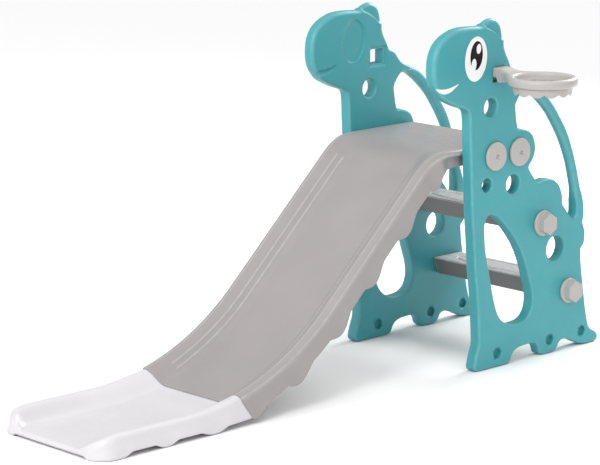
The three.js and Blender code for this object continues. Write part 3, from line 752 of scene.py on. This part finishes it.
def printed_mouth(out):
    """A crescent print that follows the rounded edge of the snout: a grid along the smile and across it. The
    height falls with the distance d to the outline as the edge's quarter ellipse does."""
    low, high = through(MOUTH_LOW, 14), through(MOUTH_HIGH, 14)
    along = np.linspace(low.real.min(), -75.5, 90)
    floor = np.interp(along, low.real, low.imag)
    roof = np.interp(along, high.real, high.imag)
    rows = along + 1j * mix(floor, roof, np.linspace(0, 1, 12)[:, None])
    edge = even_loop(panel_outline(), 4, 3.2)
    gap = np.abs(rows[..., None] - edge).min(axis=-1)
    curl = np.clip(gap / panel_edge(rows), 0.02, 1)
    drop = edge_depth(rows) * (1 - np.sqrt(1 - (1 - curl) ** 2))
    skin = Skin()
    faces = [skin.add(upright(out, OUTER)(rows, lift - drop)) for lift in MOUTH_LIFTS]
    for face in faces:
        skin.quads(face)
    low_ring, high_ring = [
        np.concatenate([f[0], f[1:, -1], f[-1, -2::-1], f[-2:0:-1, 0]]) for f in faces]
    skin.quads(np.stack([low_ring, high_ring]), close_columns=True)
    return skin


PUPIL = (-9 + 855j, 23.5, 38)  # middle, half width and half height
GLINTS = (("upper", -1 + 872j, 8.6, 13), ("lower", -19 + 831j, 9.4, 16.5))


class SLIDE_OT_prints(bpy.types.Operator):
    """Print the eyes and mouths on the outer faces"""

    bl_idname = "slide.prints"
    bl_label = "Eyes and Mouths"

    def execute(self, context):
        for side, out in SIDES:
            white = ellipse(EYE_PLACE, *EYE_HALF, EYE_TILT, 120)
            make_piece(f"{side}_eye_white", printed_plate(white, out, *WHITE_LIFTS), "white",
                       nodes=[f"{side}_eye_decal"])
            black = ellipse(*PUPIL, EYE_TILT, 90)
            make_piece(f"{side}_pupil", printed_plate(black, out, *PUPIL_LIFTS), "black")
            for name, place, wide, high in GLINTS:
                glint = ellipse(place, wide, high, EYE_TILT, 60)
                make_piece(f"{side}_{name}_glint", printed_plate(glint, out, *GLINT_LIFTS), "white")
            make_piece(f"{side}_mouth_print", printed_mouth(out), "white",
                       nodes=[f"{side}_mouth_decal"])
        return {"FINISHED"}


# ---------------------------------------------------------------- chute and exit
DECK_HEIGHT, DECK_LENGTH, DECK_AHEAD = 602, 262, 50
CREST_RADIUS, RUNOUT_RADIUS = 150, 710
SLOPE = math.radians(43)
SEAM_PITCH = math.radians(14.2)  # of the run-out where the chute ends
CHUTE_HALF, FLOOR_HALF = 200, 104  # half widths
TROUGH_DEPTH = 35  # floor below the rims
BED = 18  # thickness under the floor
RIM_INSET, ROLL = 22, 12.5  # middle of a rolled rim inside the trough's side, and half its width
CREASE = 1.6  # how far the skirt stands in under the rolled rim
SKIRT_WALL = 14
HEM = 4.0  # rounding of a skirt's hem
REAR_ROUND, SEAM_ROUND, LIP_ROUND = 6, 2.5, 9  # rounding of the ends
BEADS = (33, 48)  # from the middle of the rim to the two beads
EXIT_RIM, EXIT_LENGTH = 59, 457
LIP_HEIGHT, LIP_RADIUS, RIM_FALL = 17, 54, 74
FOOT_PITCH, FOOT_GAP, LAST_FOOT = 145, 11, 10
SCALLOP_PITCH, SCALLOP_DEPTH, FIRST_NOTCH = 163, 20, 136
SCALLOP_STRAIGHT, SCALLOP_LEAN = 0.4, 1.4  # straight share of each pitch, and how far a bulge leans
SLANT_RUN = 170  # length of skirt over which the slant of the seam fades


def rim_stretches():
    """Lengths and turns of the rim's side view: deck, crest, slope, run-out and exit."""
    curves = (CREST_RADIUS + RUNOUT_RADIUS) * (1 - math.cos(SLOPE))
    slope = (DECK_HEIGHT - EXIT_RIM - curves) / math.sin(SLOPE)
    lengths = np.array([DECK_LENGTH, CREST_RADIUS * SLOPE, slope, RUNOUT_RADIUS * SLOPE, EXIT_LENGTH])
    return lengths, np.array([0, SLOPE, 0, -SLOPE, 0])


def along_rim(distance):
    """Place and pitch of the rim line at a distance from the deck's rear edge. Each stretch moves by its
    chord, which is its length times sin(h)/h for half its turn h, in the direction half way round it."""
    lengths, turns = rim_stretches()
    starts = np.cumsum(lengths) - lengths
    pitches = np.cumsum(turns) - turns
    part = np.clip(np.asarray(distance)[..., None] - starts, 0, lengths)
    half = part * turns / lengths / 2
    chord = part * np.sinc(half / np.pi)
    x = DECK_LENGTH - DECK_AHEAD - (chord * np.cos(pitches + half)).sum(-1)
    z = DECK_HEIGHT - (chord * np.sin(pitches + half)).sum(-1)
    return x, z, 2 * half.sum(-1)


CREST_END = DECK_LENGTH + CREST_RADIUS * SLOPE
SEAM = rim_stretches()[0][:4].sum() - RUNOUT_RADIUS * SEAM_PITCH
LIP = SEAM + EXIT_LENGTH


def trough_half(s):
    """Half a trough's section at each station, outer hem to middle, as (across, up): the skirt, the rolled
    rim as a quarter ellipse, the wall as half a cosine wave with two beads, and the flat floor. The second
    array is the underside, column for column, and the third the painted highlight on the top: thin pale
    lines along the rim's inner edge, along the beads, and along the rolled rim's outer crease."""
    one = np.ones_like(s["floor"])[:, None]
    floor, rim, floor_edge, rim_middle, outer, skirt, under, bead, roll, crease = (
        s[k][:, None] for k in ("floor", "rim", "floor_edge", "rim_middle", "outer", "skirt", "under", "bead",
                                "roll", "crease"))
    curl = np.linspace(-np.pi / 2, 0, 6)
    straight = np.linspace(0, 1, 7)[1:-1]
    quarter = np.linspace(0, np.pi / 2, 11)
    across = np.linspace(0, 1, 46)[1:]
    flat = np.linspace(0, 1, 12)[1:]
    start = rim_middle + roll - crease
    outer = outer - crease + CREASE
    deep = np.clip(rim - skirt - HEM - 2, 1, 12)
    y_skirt = mix(outer, start, straight)
    z_skirt = mix(skirt + HEM, rim - 1.2 * deep, straight)
    y_roll = rim_middle - 2 + (roll + 2) * np.cos(quarter)
    z_roll = rim - deep * (1 - np.sin(quarter))
    y_wall = mix(rim_middle - 2, floor_edge, across)
    wave = (1 - np.cos(np.pi * across)) / 2
    beads = sum(np.exp(-((y_wall - (rim_middle - back)) / 1.7) ** 2) for back in BEADS)
    # painted highlight lines: a thin pale line along the rim's inner edge, and one on each bead
    worn_and_highlit = np.exp(-((y_wall - (rim_middle - 3)) / 2.5) ** 2) + beads * (bead > 0.2)
    z_wall = mix(rim, floor, wave) + bead * beads
    top_y = [outer - SKIRT_WALL / 2 + 0.4, outer - HEM + HEM * np.cos(curl), y_skirt, y_roll, y_wall,
             floor_edge * (1 - flat)]
    top_z = [skirt, skirt + HEM + HEM * np.sin(curl), z_skirt, z_roll, z_wall, floor * one + 0 * flat]
    inner = outer - SKIRT_WALL
    corner = inner - 2
    shrink = corner / (rim_middle + roll)
    low_y = [outer - SKIRT_WALL / 2 - 0.4, inner + HEM - HEM * np.cos(curl), mix(inner, corner, straight),
             y_roll * shrink, y_wall * shrink, floor_edge * (1 - flat) * shrink]
    rest = len(quarter) + len(across) + len(flat)
    low_z = [skirt, skirt + HEM + HEM * np.sin(curl), mix(skirt + HEM, under, straight ** 0.8),
             under + np.zeros(rest)]
    # painted highlight line along the rolled rim near its crease with the skirt
    painted_highlight_line = np.exp(-((np.degrees(quarter) - 12) / 14) ** 2)
    rub = [np.zeros(1 + len(curl) + len(straight)), painted_highlight_line, np.minimum(worn_and_highlit, 1), 0 * flat]
    stack = [np.concatenate([a + 0 * one for a in row], axis=1) for row in (top_y, top_z, low_y, low_z, rub)]
    return np.stack(stack[:2], -1), np.stack(stack[2:4], -1), stack[4]


def trough(distance, s, slant, slant_weight):
    """Closed trough through its stations. Skirt points slide back along the rim by the slant times their
    depth below it, where slant_weight is not 0."""
    skin = Skin()
    grids = []
    # painted highlight lines on the top face; the underside gets none
    *halves, worn_and_highlit = trough_half(s)
    worn_and_highlit = np.concatenate([worn_and_highlit, worn_and_highlit[:, -2::-1]], axis=1)
    for half, rub in zip(halves, (worn_and_highlit, 0.0)):
        section = np.concatenate([half, half[:, -2::-1] * [-1, 1]], axis=1)
        y, up = section[..., 0], section[..., 1]
        rim, middle = s["rim"][:, None], s["rim_middle"][:, None]
        outside = smooth_step((np.abs(y) - middle + 10) / 20)
        sink = np.clip((rim - up) / 60, 0, 1.1) * outside
        x, z, pitch = along_rim(distance[:, None] - slant * sink * slant_weight[:, None])
        spots = np.stack([x - up * np.sin(pitch), y, z + up * np.cos(pitch)], -1)
        grids.append(skin.add(spots, rub))
    top, low = grids
    skin.quads(top)
    skin.quads(low)
    for edge in (0, -1):
        skin.quads(np.stack([top[edge], low[edge]]))
        skin.quads(np.stack([top[:, edge], low[:, edge]]))
    return skin


def chute_stations():
    """Distances along the chute: 6 mm apart, closer at both ends where the edge rounds over."""
    curl = np.linspace(0, np.pi / 2, 6)[:-1]
    rear = REAR_ROUND * (1 - np.cos(curl))
    front = SEAM - SEAM_ROUND * (1 - np.cos(curl))[::-1]
    return np.concatenate([rear, np.linspace(REAR_ROUND, SEAM - SEAM_ROUND, 200), front])


def round_over(gap, radius):
    """How far a surface drops at a gap from an edge that is rounded to a radius."""
    t = np.clip(gap / radius, 0, 1)
    return radius * (1 - np.sqrt(1 - (1 - t) ** 2))


def deck_and_chute():
    """Deck, crest and slope in one moulding. Between straights its skirts bulge by the sine of pi times u to
    the power of the lean, fullest towards the lower end."""
    d = chute_stations()
    t = smooth_step((d - DECK_LENGTH + 40) / (CREST_END - DECK_LENGTH + 40))
    drop = round_over(d, REAR_ROUND) + round_over(SEAM - d, SEAM_ROUND)
    outer = mix(INNER - CLEAR, CHUTE_HALF, t) - drop
    phase = ((d - DECK_LENGTH - FIRST_NOTCH) / SCALLOP_PITCH) % 1
    bulge = np.maximum(0, (phase - SCALLOP_STRAIGHT) / (1 - SCALLOP_STRAIGHT))
    wave = SCALLOP_DEPTH * np.sin(np.pi * bulge ** SCALLOP_LEAN)
    fade = smooth_step((d - CREST_END + 30) / 60) * smooth_step((SEAM - 40 - d) / 120)
    section = {
        "floor": -TROUGH_DEPTH * t - drop,
        "rim": -drop,
        "floor_edge": FLOOR_HALF + 0 * d,
        "rim_middle": outer - mix(12, RIM_INSET, t),
        "outer": outer,
        "skirt": -mix(46, 58 + wave, t),
        "under": -mix(40, TROUGH_DEPTH + BED, t),
        "bead": mm.bead * fade,
        "roll": mix(11.6, ROLL, t),
        "crease": mix(14, CREASE, smooth_step((d - DECK_LENGTH - 5) / 45)),
    }
    return trough(d, section, mm.slant, smooth_step((d - SEAM + SLANT_RUN) / SLANT_RUN))


def chute_exit():
    """Exit trough: near the lip its sides round in plan by a quarter circle and its rim falls to the floor by
    a quarter ellipse, and its skirts stand on feet."""
    curl = np.linspace(0, np.pi / 2, 22)
    start = SEAM + CLEAR
    straight = np.linspace(start, LIP - LIP_RADIUS, 90)[:-1]
    d = np.concatenate([straight, LIP - LIP_RADIUS * (1 - np.sin(curl))])
    _, z, pitch = along_rim(d)
    to_lip = LIP - d
    corner = np.clip(LIP_RADIUS - to_lip, 0, LIP_RADIUS)
    rounded = np.sqrt(np.maximum(0, 1 - (corner / LIP_RADIUS) ** 2))
    t = smooth_step((d - SEAM) / (EXIT_LENGTH - LIP_RADIUS))
    tuck = mm.seam_step * (1 - smooth_step((d - start) / 60))
    over = round_over(to_lip, LIP_ROUND) * 0.85
    floor = mix(-TROUGH_DEPTH, LIP_HEIGHT - EXIT_RIM, t) - over - tuck
    phase = ((to_lip - LIP_RADIUS - LAST_FOOT) / FOOT_PITCH) % 1
    lift = FOOT_GAP * (1 - np.maximum(0, np.cos(2 * np.pi * phase)))
    lift = lift * smooth_step((to_lip - LIP_RADIUS - 2) / 24)
    outer = CHUTE_HALF - LIP_RADIUS * (1 - rounded) - tuck
    skirt = lift - z / np.cos(pitch)
    fall = np.sqrt(1 - np.clip(1 - to_lip / RIM_FALL, 0, 1) ** 2)
    rim = mix(floor + 1, -tuck, fall)
    under = np.maximum(floor - 12, skirt + 5)
    section = {
        "floor": floor,
        "rim": rim,
        "floor_edge": FLOOR_HALF + 30 * t - LIP_RADIUS * (1 - rounded),
        "rim_middle": outer - RIM_INSET,
        "outer": outer,
        "skirt": skirt,
        "under": under,
        "bead": 0 * d,
        "roll": ROLL + 0 * d,
        "crease": CREASE + 0 * d,
    }
    return trough(d, section, mm.slant, 1 - smooth_step((d - SEAM) / SLANT_RUN))


class SLIDE_OT_deck_and_chute(bpy.types.Operator):
    """Build the one-piece deck and chute"""

    bl_idname = "slide.deck_and_chute"
    bl_label = "Deck and Chute"

    def execute(self, context):
        make_piece("chute_moulding", deck_and_chute(), "chute",
                   nodes=["deck_and_chute"])
        return {"FINISHED"}


class SLIDE_OT_chute_exit(bpy.types.Operator):
    """Build the exit of the chute"""

    bl_idname = "slide.chute_exit"
    bl_label = "Chute Exit"

    def execute(self, context):
        make_piece("exit_moulding", chute_exit(), "exit", nodes=["chute_exit"])
        return {"FINISHED"}


# ---------------------------------------------------------------- steps
STEP_DEPTH, STEP_THICK = 112, 50
STEP_FRONTS = (("lower", 310, 197), ("upper", 197, 402))  # front edge and top
GROOVE_HALF_WIDE, GROOVE_HALF_LONG, GROOVE_SPREAD = 37, 158, 2.0
SCREW_REACH = 30  # how far a screw goes into a step's end


def step_moulding(name, front, top):
    """A step: its section carried across the slide, with an oval groove in its top and a screw bore in each
    end. The groove is a Gaussian trough about an ellipse, by the distance (r^2 - 1)/|grad r^2|."""
    end = INNER - CLEAR
    back, bottom = front + STEP_DEPTH, top - STEP_THICK
    corners = np.array([front + 1j * top, front + 17 + 1j * bottom, back - 9 + 1j * bottom, back + 1j * top])
    middle = (front + back) / 2

    def grooved(spots):
        """The top lowered along the ellipse, and crowned a little inside it."""
        x, y = (spots[..., 0] - middle) / GROOVE_HALF_WIDE, spots[..., 1] / GROOVE_HALF_LONG
        steep = 2 * np.hypot(x / GROOVE_HALF_WIDE, y / GROOVE_HALF_LONG) + 1e-9
        away = (x**2 + y**2 - 1) / steep
        groove = np.exp(-(away / GROOVE_SPREAD) ** 2) * (spots[..., 2] > top - 2)
        crown = 0.36 * np.clip(-away / 20, 0, 1) * (spots[..., 2] > top - 2)
        return spots - np.stack([0 * x, 0 * x, mm.groove * groove - crown], -1)

    screw = dict(STEP_SCREWS)[name]
    bores = [(screw, SCREW_HOLE / 2, SCREW_REACH + CLEAR, which) for which in (0, 1)]
    skin = plate(
        upright(), even_loop(corners, 1.7, 3.2), [], lambda p: end + 0 * p.real, lambda p: 0 * p.real - end,
        lambda p: 2.8 + 0 * p.real, lambda p: 9 + 0 * p.real, 7, bores, wall=np.linspace(0, 1, 190),
        shape=grooved,
    )
    # the whole top paled fully: painted highlight where the tread catches the light
    skin.rub = [np.where(spots[:, 2] > top - 4, 1.0, rub) for spots, rub in zip(skin.points, skin.rub)]
    return skin


class SLIDE_OT_steps(bpy.types.Operator):
    """Build both steps"""

    bl_idname = "slide.steps"
    bl_label = "Steps"

    def execute(self, context):
        for name, front, top in STEP_FRONTS:
            make_piece(f"{name}_step_moulding", step_moulding(name, front, top), "step",
                       nodes=[f"{name}_step"])
        return {"FINISHED"}


# ---------------------------------------------------------------- screws
SEAT = OUTER + CLEAR  # where the heads sit
TIP = INNER - CLEAR - SCREW_REACH
SHAFT_RADIUS = 12
SHAFT = (  # radius and height of each ring
    (6, TIP), (SHAFT_RADIUS - 2, TIP), (SHAFT_RADIUS - 0.6, TIP + 0.6), (SHAFT_RADIUS, TIP + 2),
    (SHAFT_RADIUS, SEAT - 20), (SHAFT_RADIUS, SEAT),
)
ROUND_RADIUS, ROUND_PROUD = 38.5, 9
ROUND_EDGE = (  # inside the head's radius, and above its seat
    (8.5, 0), (1.2, 0), (0, 1.2), (0, 4), (0.5, 6), (1.6, 7.6), (3, 8.6), (4.5, ROUND_PROUD),
)
GRIP_TURN, GRIP_SPREAD = math.radians(120), 2.0  # direction and spread of the ridge across a round head
CROSS_REACH, CROSS_SPREAD, CROSS_DEPTH = 7.5, 1.7, 3.2
HEX_FLATS = 53  # across
HEX_FLANGE = ((30, 0), (34, 0), (35, 1), (35, 4), (34.4, 6), (33, 7.5), (31.5, 8))  # radius and height
HEX_HEAD = (  # share of the hexagon, and height
    (1.04, 8), (1.01, 8.5), (1, 9.5), (1, 18), (0.995, 28), (0.98, 29.3), (0.955, 29.9), (0.92, 30),
    (0.86, 29.9), (0.6, 29.6), (0.3, 29.6),
)


def stacked(rings, heights, place):
    """A closed solid of rings about one line, with a pole at each end."""
    skin = Skin()
    heights = heights + np.zeros(rings.shape)
    grid = skin.add(place(rings, heights))
    skin.quads(grid, close_columns=True)
    for row in (0, -1):
        skin.fan(grid[row], place(np.zeros(1, complex), heights[row].mean()[None])[0])
    return skin


def deck_screw(centre, out):
    """A round head: a lathe shape whose face carries a fine ridge from side to side and a cross recess in the
    middle. The ridge is a Gaussian across its line, and each arm of the cross falls off as exp(-x^4)."""
    profile = SHAFT + tuple((ROUND_RADIUS - back, SEAT + up) for back, up in ROUND_EDGE)
    face = np.linspace(ROUND_RADIUS - 6, 0.8, 30)
    radii = np.array([r for r, _ in profile] + list(face))
    heights = np.array([h for _, h in profile] + [SEAT + ROUND_PROUD] * len(face))
    rings = radii[:, None] * np.exp(1j * np.arange(120) / 120 * 2 * np.pi)
    from_middle = np.abs(rings)
    along = rings * np.exp(-1j * GRIP_TURN)
    on_face = (heights > SEAT + ROUND_PROUD - 0.01)[:, None]
    ridge = mm.grip * np.exp(-(along.imag / GRIP_SPREAD) ** 2)
    ridge = ridge * smooth_step((ROUND_RADIUS - 5 - from_middle) / 3) * smooth_step((from_middle - 7) / 3)
    ridge = ridge * mix(0.35, 1, smooth_step(-along.real / 6 + 0.5))
    arms = [np.exp(-(across / CROSS_SPREAD) ** 4) * (np.abs(reach) < CROSS_REACH)
            for across, reach in ((along.imag, along.real), (along.real, along.imag))]
    dome = 0.8 * (from_middle / ROUND_RADIUS) ** 2
    relief = np.where(on_face, ridge - CROSS_DEPTH * np.maximum(*arms) - dome + 0.4, 0)
    return stacked(rings, heights[:, None] + relief, upright(out, 0.0, centre))


def step_screw(centre, out):
    """A round flange under a hexagon, all rings about the screw's line."""
    corner_reach = HEX_FLATS / math.sqrt(3)
    corners = corner_reach * np.exp(1j * (np.pi / 2 + np.arange(6) * np.pi / 3))
    hexagon = even_loop(corners, corner_reach / 20, 1.0)
    circle = hexagon / np.abs(hexagon)
    rows = [circle * r for r, _ in SHAFT + HEX_FLANGE] + [hexagon * share for share, _ in HEX_HEAD]
    heights = [h for _, h in SHAFT] + [SEAT + h for _, h in HEX_FLANGE + HEX_HEAD]
    return stacked(np.array(rows), np.array(heights)[:, None], upright(out, 0.0, centre))


class SLIDE_OT_deck_screws(bpy.types.Operator):
    """Build the four round screws that hold the deck"""

    bl_idname = "slide.deck_screws"
    bl_label = "Deck Screws"

    def execute(self, context):
        for side, out in SIDES:
            for name, centre in DECK_SCREWS:
                node = f"{side}_{name}_deck_screw"
                make_piece(f"{node}_moulding", deck_screw(centre, out), "fitting", node,
                           [node])
        return {"FINISHED"}


class SLIDE_OT_step_screws(bpy.types.Operator):
    """Build the four hexagonal screws that hold the steps"""

    bl_idname = "slide.step_screws"
    bl_label = "Step Screws"

    def execute(self, context):
        for side, out in SIDES:
            for name, centre in STEP_SCREWS:
                node = f"{side}_{name}_step_screw"
                make_piece(f"{node}_moulding", step_screw(centre, out), "fitting", node,
                           [node])
        return {"FINISHED"}


TONGUE_LENGTH, TONGUE_THICK, JOIN_SPACING = 66, 12, 120


def joining_screw(side):
    """A pan-head screw set square to the bed from below, with a cross recess in its head."""
    x, z, pitch = along_rim(SEAM - TONGUE_LENGTH / 2)
    depth = TROUGH_DEPTH + BED
    base = np.array([x + depth * np.sin(pitch), side * JOIN_SPACING / 2, z - depth * np.cos(pitch)])
    up = np.array([-np.sin(pitch), 0, np.cos(pitch)])
    ahead = np.array([np.cos(pitch), 0, np.sin(pitch)])
    under = -TONGUE_THICK - 2 * CLEAR

    def place(p, height):
        p, height = np.broadcast_arrays(p, height)
        return base + p.real[..., None] * ahead + p.imag[..., None] * [0, 1, 0] + height[..., None] * up

    radii = np.array([2, 3, 4, 4, 9, 10, 10, 9.4, 7.5, 5, 3, 1.5])
    heights = np.array([7, 6.4, 5, under, under, under - 0.5, under - 3, under - 4.2, under - 5, under - 5,
                        under - 5, under - 5])
    rings = radii[:, None] * np.exp(1j * np.arange(72) / 72 * 2 * np.pi)
    cross = np.maximum(np.abs(rings.real) < 1, np.abs(rings.imag) < 1) & (np.abs(rings) < 6)
    head = (heights < under - 4.9)[:, None]
    return stacked(rings, heights[:, None] + 2.0 * (cross & head), place)


class SLIDE_OT_joining_screws(bpy.types.Operator):
    """Build the two screws that join the exit to the chute from below"""

    bl_idname = "slide.joining_screws"
    bl_label = "Joining Screws"

    def execute(self, context):
        for name, side in SIDES:
            make_piece(f"{name}_joining_screw_head", joining_screw(side), "zinc",
                       nodes=[f"{name}_joining_screw"])
        return {"FINISHED"}


# ---------------------------------------------------------------- ball hoop
HOOP_RADIUS, HOOP_WALL, HOOP_HALF = 91, 18, 12
HOOP_REACH, PLUG_DEPTH = 150, 30
HOOP_SKIRT_INSET, HOOP_SKIRT_WALL = 12, 4.0
HOOP_SKIRT_DROP, LOBE_DROP, LOBES = 15, 8, 12
HOOP_MIDDLE = HOOP_PLACE.real, -OUTER - HOOP_REACH, HOOP_PLACE.imag - 1


def hoop_place(p, height):
    """Place function for the hoop, seen from above."""
    x, y, z = HOOP_MIDDLE
    return np.stack([x + p.real, y + p.imag, z + height], -1)


def hoop_moulding():
    """The ring and its arm as one plate seen from above: a circle that runs into the arm in two hollow
    curves. The arm thickens from the ring's height to its root."""
    sweep = np.linspace(np.radians(44), np.radians(316), 140)
    ring = HOOP_RADIUS * (np.sin(sweep) + 1j * np.cos(sweep))
    far = HOOP_REACH + PLUG_DEPTH
    side = [(23.5, far), (23.5, 150), (24, 128), (29, 108), (41, 90), (ring[0].real, ring[0].imag)]
    root = through(side)
    other = (-np.conj(root))[::-1]
    outline = even_loop(np.concatenate([ring, other, root]), 2.6, 2.4)
    inner = ellipse(0j, HOOP_RADIUS - HOOP_WALL, HOOP_RADIUS - HOOP_WALL, count=180)

    def swell(p):
        return smooth_step((p.imag - 84) / 60)

    def top(p):
        return HOOP_HALF + 8.8 * swell(p)

    def bottom(p):
        notch = smooth_step((p.imag - 137) / 3) * smooth_step((-1 - p.real) / 3)
        return -HOOP_HALF - 6.8 * swell(p) + 14 * notch

    def width(p):
        return 7.5 - 4 * swell(p)

    return plate(hoop_place, outline, [inner], top, bottom, width, lambda p: 9 - 5 * swell(p), 4,
                 ridge=0.2)


def hoop_skirt():
    """The scalloped skirt under the ring: a thin wall swept round, with a round hem whose lobes follow the
    size of a cosine."""
    turn = np.arange(360) / 360 * 2 * np.pi
    top = -HOOP_HALF - CLEAR
    low = top - HOOP_SKIRT_DROP - LOBE_DROP * np.abs(np.cos(turn * LOBES / 2))
    radius, wall = HOOP_RADIUS - HOOP_SKIRT_INSET, HOOP_SKIRT_WALL
    fall = np.linspace(0, 1, 9)
    curl = np.linspace(0, np.pi, 7)[1:-1]
    outside = np.stack([radius - 3 * fall[:, None] + 0 * turn, mix(top, low + 2, fall[:, None])], -1)
    hem = np.stack([radius - 3 - wall / 2 + wall / 2 * np.cos(curl)[:, None] + 0 * turn,
                    low + 2 - 2 * np.sin(curl)[:, None]], -1)
    inside = outside[::-1] - [wall, 0]
    section = np.concatenate([outside, hem, inside])
    spots = hoop_place(section[..., 0] * np.exp(1j * turn), section[..., 1])
    skin = Skin()
    skin.quads(skin.add(spots), close_rows=True, close_columns=True)
    return skin


class SLIDE_OT_ball_hoop(bpy.types.Operator):
    """Build the ball hoop and the scalloped skirt under it"""

    bl_idname = "slide.ball_hoop"
    bl_label = "Ball Hoop"

    def execute(self, context):
        make_piece("hoop_moulding", hoop_moulding(), "fitting", "hoop", ["ball_hoop"])
        make_piece("hoop_skirt_moulding", hoop_skirt(), "fitting", "hoop", ["hoop_skirt"])
        return {"FINISHED"}


# ---------------------------------------------------------------- stage
VIEW_AZIMUTH, VIEW_ELEVATION = -43.696, 12.065  # degrees
VIEW_DISTANCE = 6.9  # metres
VIEW_AIM = Vector((-0.0971, 0.0476, 0.4245))
LENS, SENSOR = 161.37, 36.0  # millimetres


def view_back(azimuth, elevation):
    """Unit vector from the aim to a camera at an azimuth, 0 looking along +Y, and an elevation."""
    a, e = math.radians(azimuth), math.radians(elevation)
    return Vector((math.sin(a) * math.cos(e), -math.cos(a) * math.cos(e), math.sin(e)))


def soft_light(name, place, aim, size, power):
    """A round softbox that faces its aim."""
    data = bpy.data.lights.new(name, "AREA")
    data.shape, data.size, data.energy = "DISK", size, power
    light = bpy.data.objects.new(name, data)
    light.location = place
    light.rotation_euler = (Vector(aim) - Vector(place)).to_track_quat("-Z", "Y").to_euler()
    bpy.context.scene.collection.objects.link(light)


DIM, BRIGHT = 0.12, 1.45  # strength of the dome opposite the key light and towards it
KEY_SIDE = Vector((-0.74, -0.24, 0.63))  # from the slide towards the key light


STUDIO_HALF, FLOOR_DROP = 40.0, 0.001  # metres; the floor lies just under the feet
SOFTBOXES = (  # name, place and aim in metres, size across in metres and power in watts
    ("key_softbox", (-4.0, -1.5, 3.6), (0, 0, 0.4), 1.6, 95),
    ("rear_softbox", (3.4, 0.4, 2.4), (0.3, 0, 0.4), 1.8, 110),
)


def studio_floor():
    """A flat sheet just under the feet."""
    signs = ((-1, -1), (1, -1), (1, 1), (-1, 1))
    corners = [(x * STUDIO_HALF, y * STUDIO_HALF, -FLOOR_DROP) for x, y in signs]
    mesh = bpy.data.meshes.new("studio_floor")
    mesh.from_pydata(corners, [], [(0, 1, 2, 3)])
    mesh.materials.append(matt_floor("matt_white_floor", bpy.context.scene.slide_colours.floor))
    floor = bpy.data.objects.new("studio_floor", mesh)
    bpy.context.scene.collection.objects.link(floor)


def white_studio():
    """A white dome that brightens evenly from the dim side to the side of the key light."""
    world = bpy.data.worlds.new("white_studio")
    world.use_nodes = True
    tree = world.node_tree
    tree.nodes.clear()
    direction = add_node(tree, "ShaderNodeTexCoord").outputs["Generated"]
    toward = add_node(tree, "ShaderNodeVectorMath", {0: direction, 1: KEY_SIDE}, operation="DOT_PRODUCT")
    strength = add_node(tree, "ShaderNodeMapRange", {
        "Value": toward.outputs["Value"], "From Min": -1.0, "From Max": 1.0, "To Min": DIM, "To Max": BRIGHT})
    dome = add_node(tree, "ShaderNodeBackground", {
        "Color": (1.0, 1.0, 1.0, 1.0), "Strength": strength.outputs["Result"]})
    add_node(tree, "ShaderNodeOutputWorld", {"Surface": dome.outputs["Background"]})
    return world


class SLIDE_OT_stage(bpy.types.Operator):
    """Set the floor, the soft lights and the camera"""

    bl_idname = "slide.stage"
    bl_label = "Stage"

    def execute(self, context):
        scene = context.scene
        studio_floor()
        for softbox in SOFTBOXES:
            soft_light(*softbox)
        scene.world = white_studio()
        camera = bpy.data.objects.new("camera", bpy.data.cameras.new("camera"))
        back = view_back(VIEW_AZIMUTH, VIEW_ELEVATION)
        camera.location = VIEW_AIM + back * VIEW_DISTANCE
        camera.rotation_euler = (-back).to_track_quat("-Z", "Y").to_euler()
        camera.data.lens, camera.data.sensor_width = LENS, SENSOR
        camera.data.clip_end = 200
        scene.collection.objects.link(camera)
        scene.camera = camera
        scene.view_settings.view_transform = "Standard"
        return {"FINISHED"}


# ---------------------------------------------------------------- add-on
OPERATORS = (
    SLIDE_OT_side_panels,
    SLIDE_OT_prints,
    SLIDE_OT_deck_and_chute,
    SLIDE_OT_chute_exit,
    SLIDE_OT_steps,
    SLIDE_OT_deck_screws,
    SLIDE_OT_step_screws,
    SLIDE_OT_joining_screws,
    SLIDE_OT_ball_hoop,
    SLIDE_OT_stage,
)


class SLIDE_PT_sidebar(bpy.types.Panel):
    """Sizes, colours and pieces of the slide"""

    bl_idname = "SLIDE_PT_sidebar"
    bl_label = "Toddler Slide"
    bl_space_type = "VIEW_3D"
    bl_region_type = "UI"
    bl_category = "Slide"

    def draw(self, context):
        column = self.layout.column()
        for group in (context.scene.slide_sizes, context.scene.slide_colours):
            for name in group.__annotations__:
                column.prop(group, name)
        for operator in OPERATORS:
            column.operator(operator.bl_idname)


CLASSES = (SlideSizes, SlideColours, *OPERATORS, SLIDE_PT_sidebar)


def register():
    """Registers the classes and gives the scene its sizes and colours."""
    for each in CLASSES:
        bpy.utils.register_class(each)
    bpy.types.Scene.slide_sizes = PointerProperty(type=SlideSizes)
    bpy.types.Scene.slide_colours = PointerProperty(type=SlideColours)


def unregister():
    """Undoes what register does."""
    del bpy.types.Scene.slide_colours
    del bpy.types.Scene.slide_sizes
    for each in reversed(CLASSES):
        bpy.utils.unregister_class(each)


def main():
    """Builds every piece in order."""
    register()
    for operator in OPERATORS:
        group, name = operator.bl_idname.split(".")
        getattr(getattr(bpy.ops, group), name)()


if __name__ == "__main__":
    main()
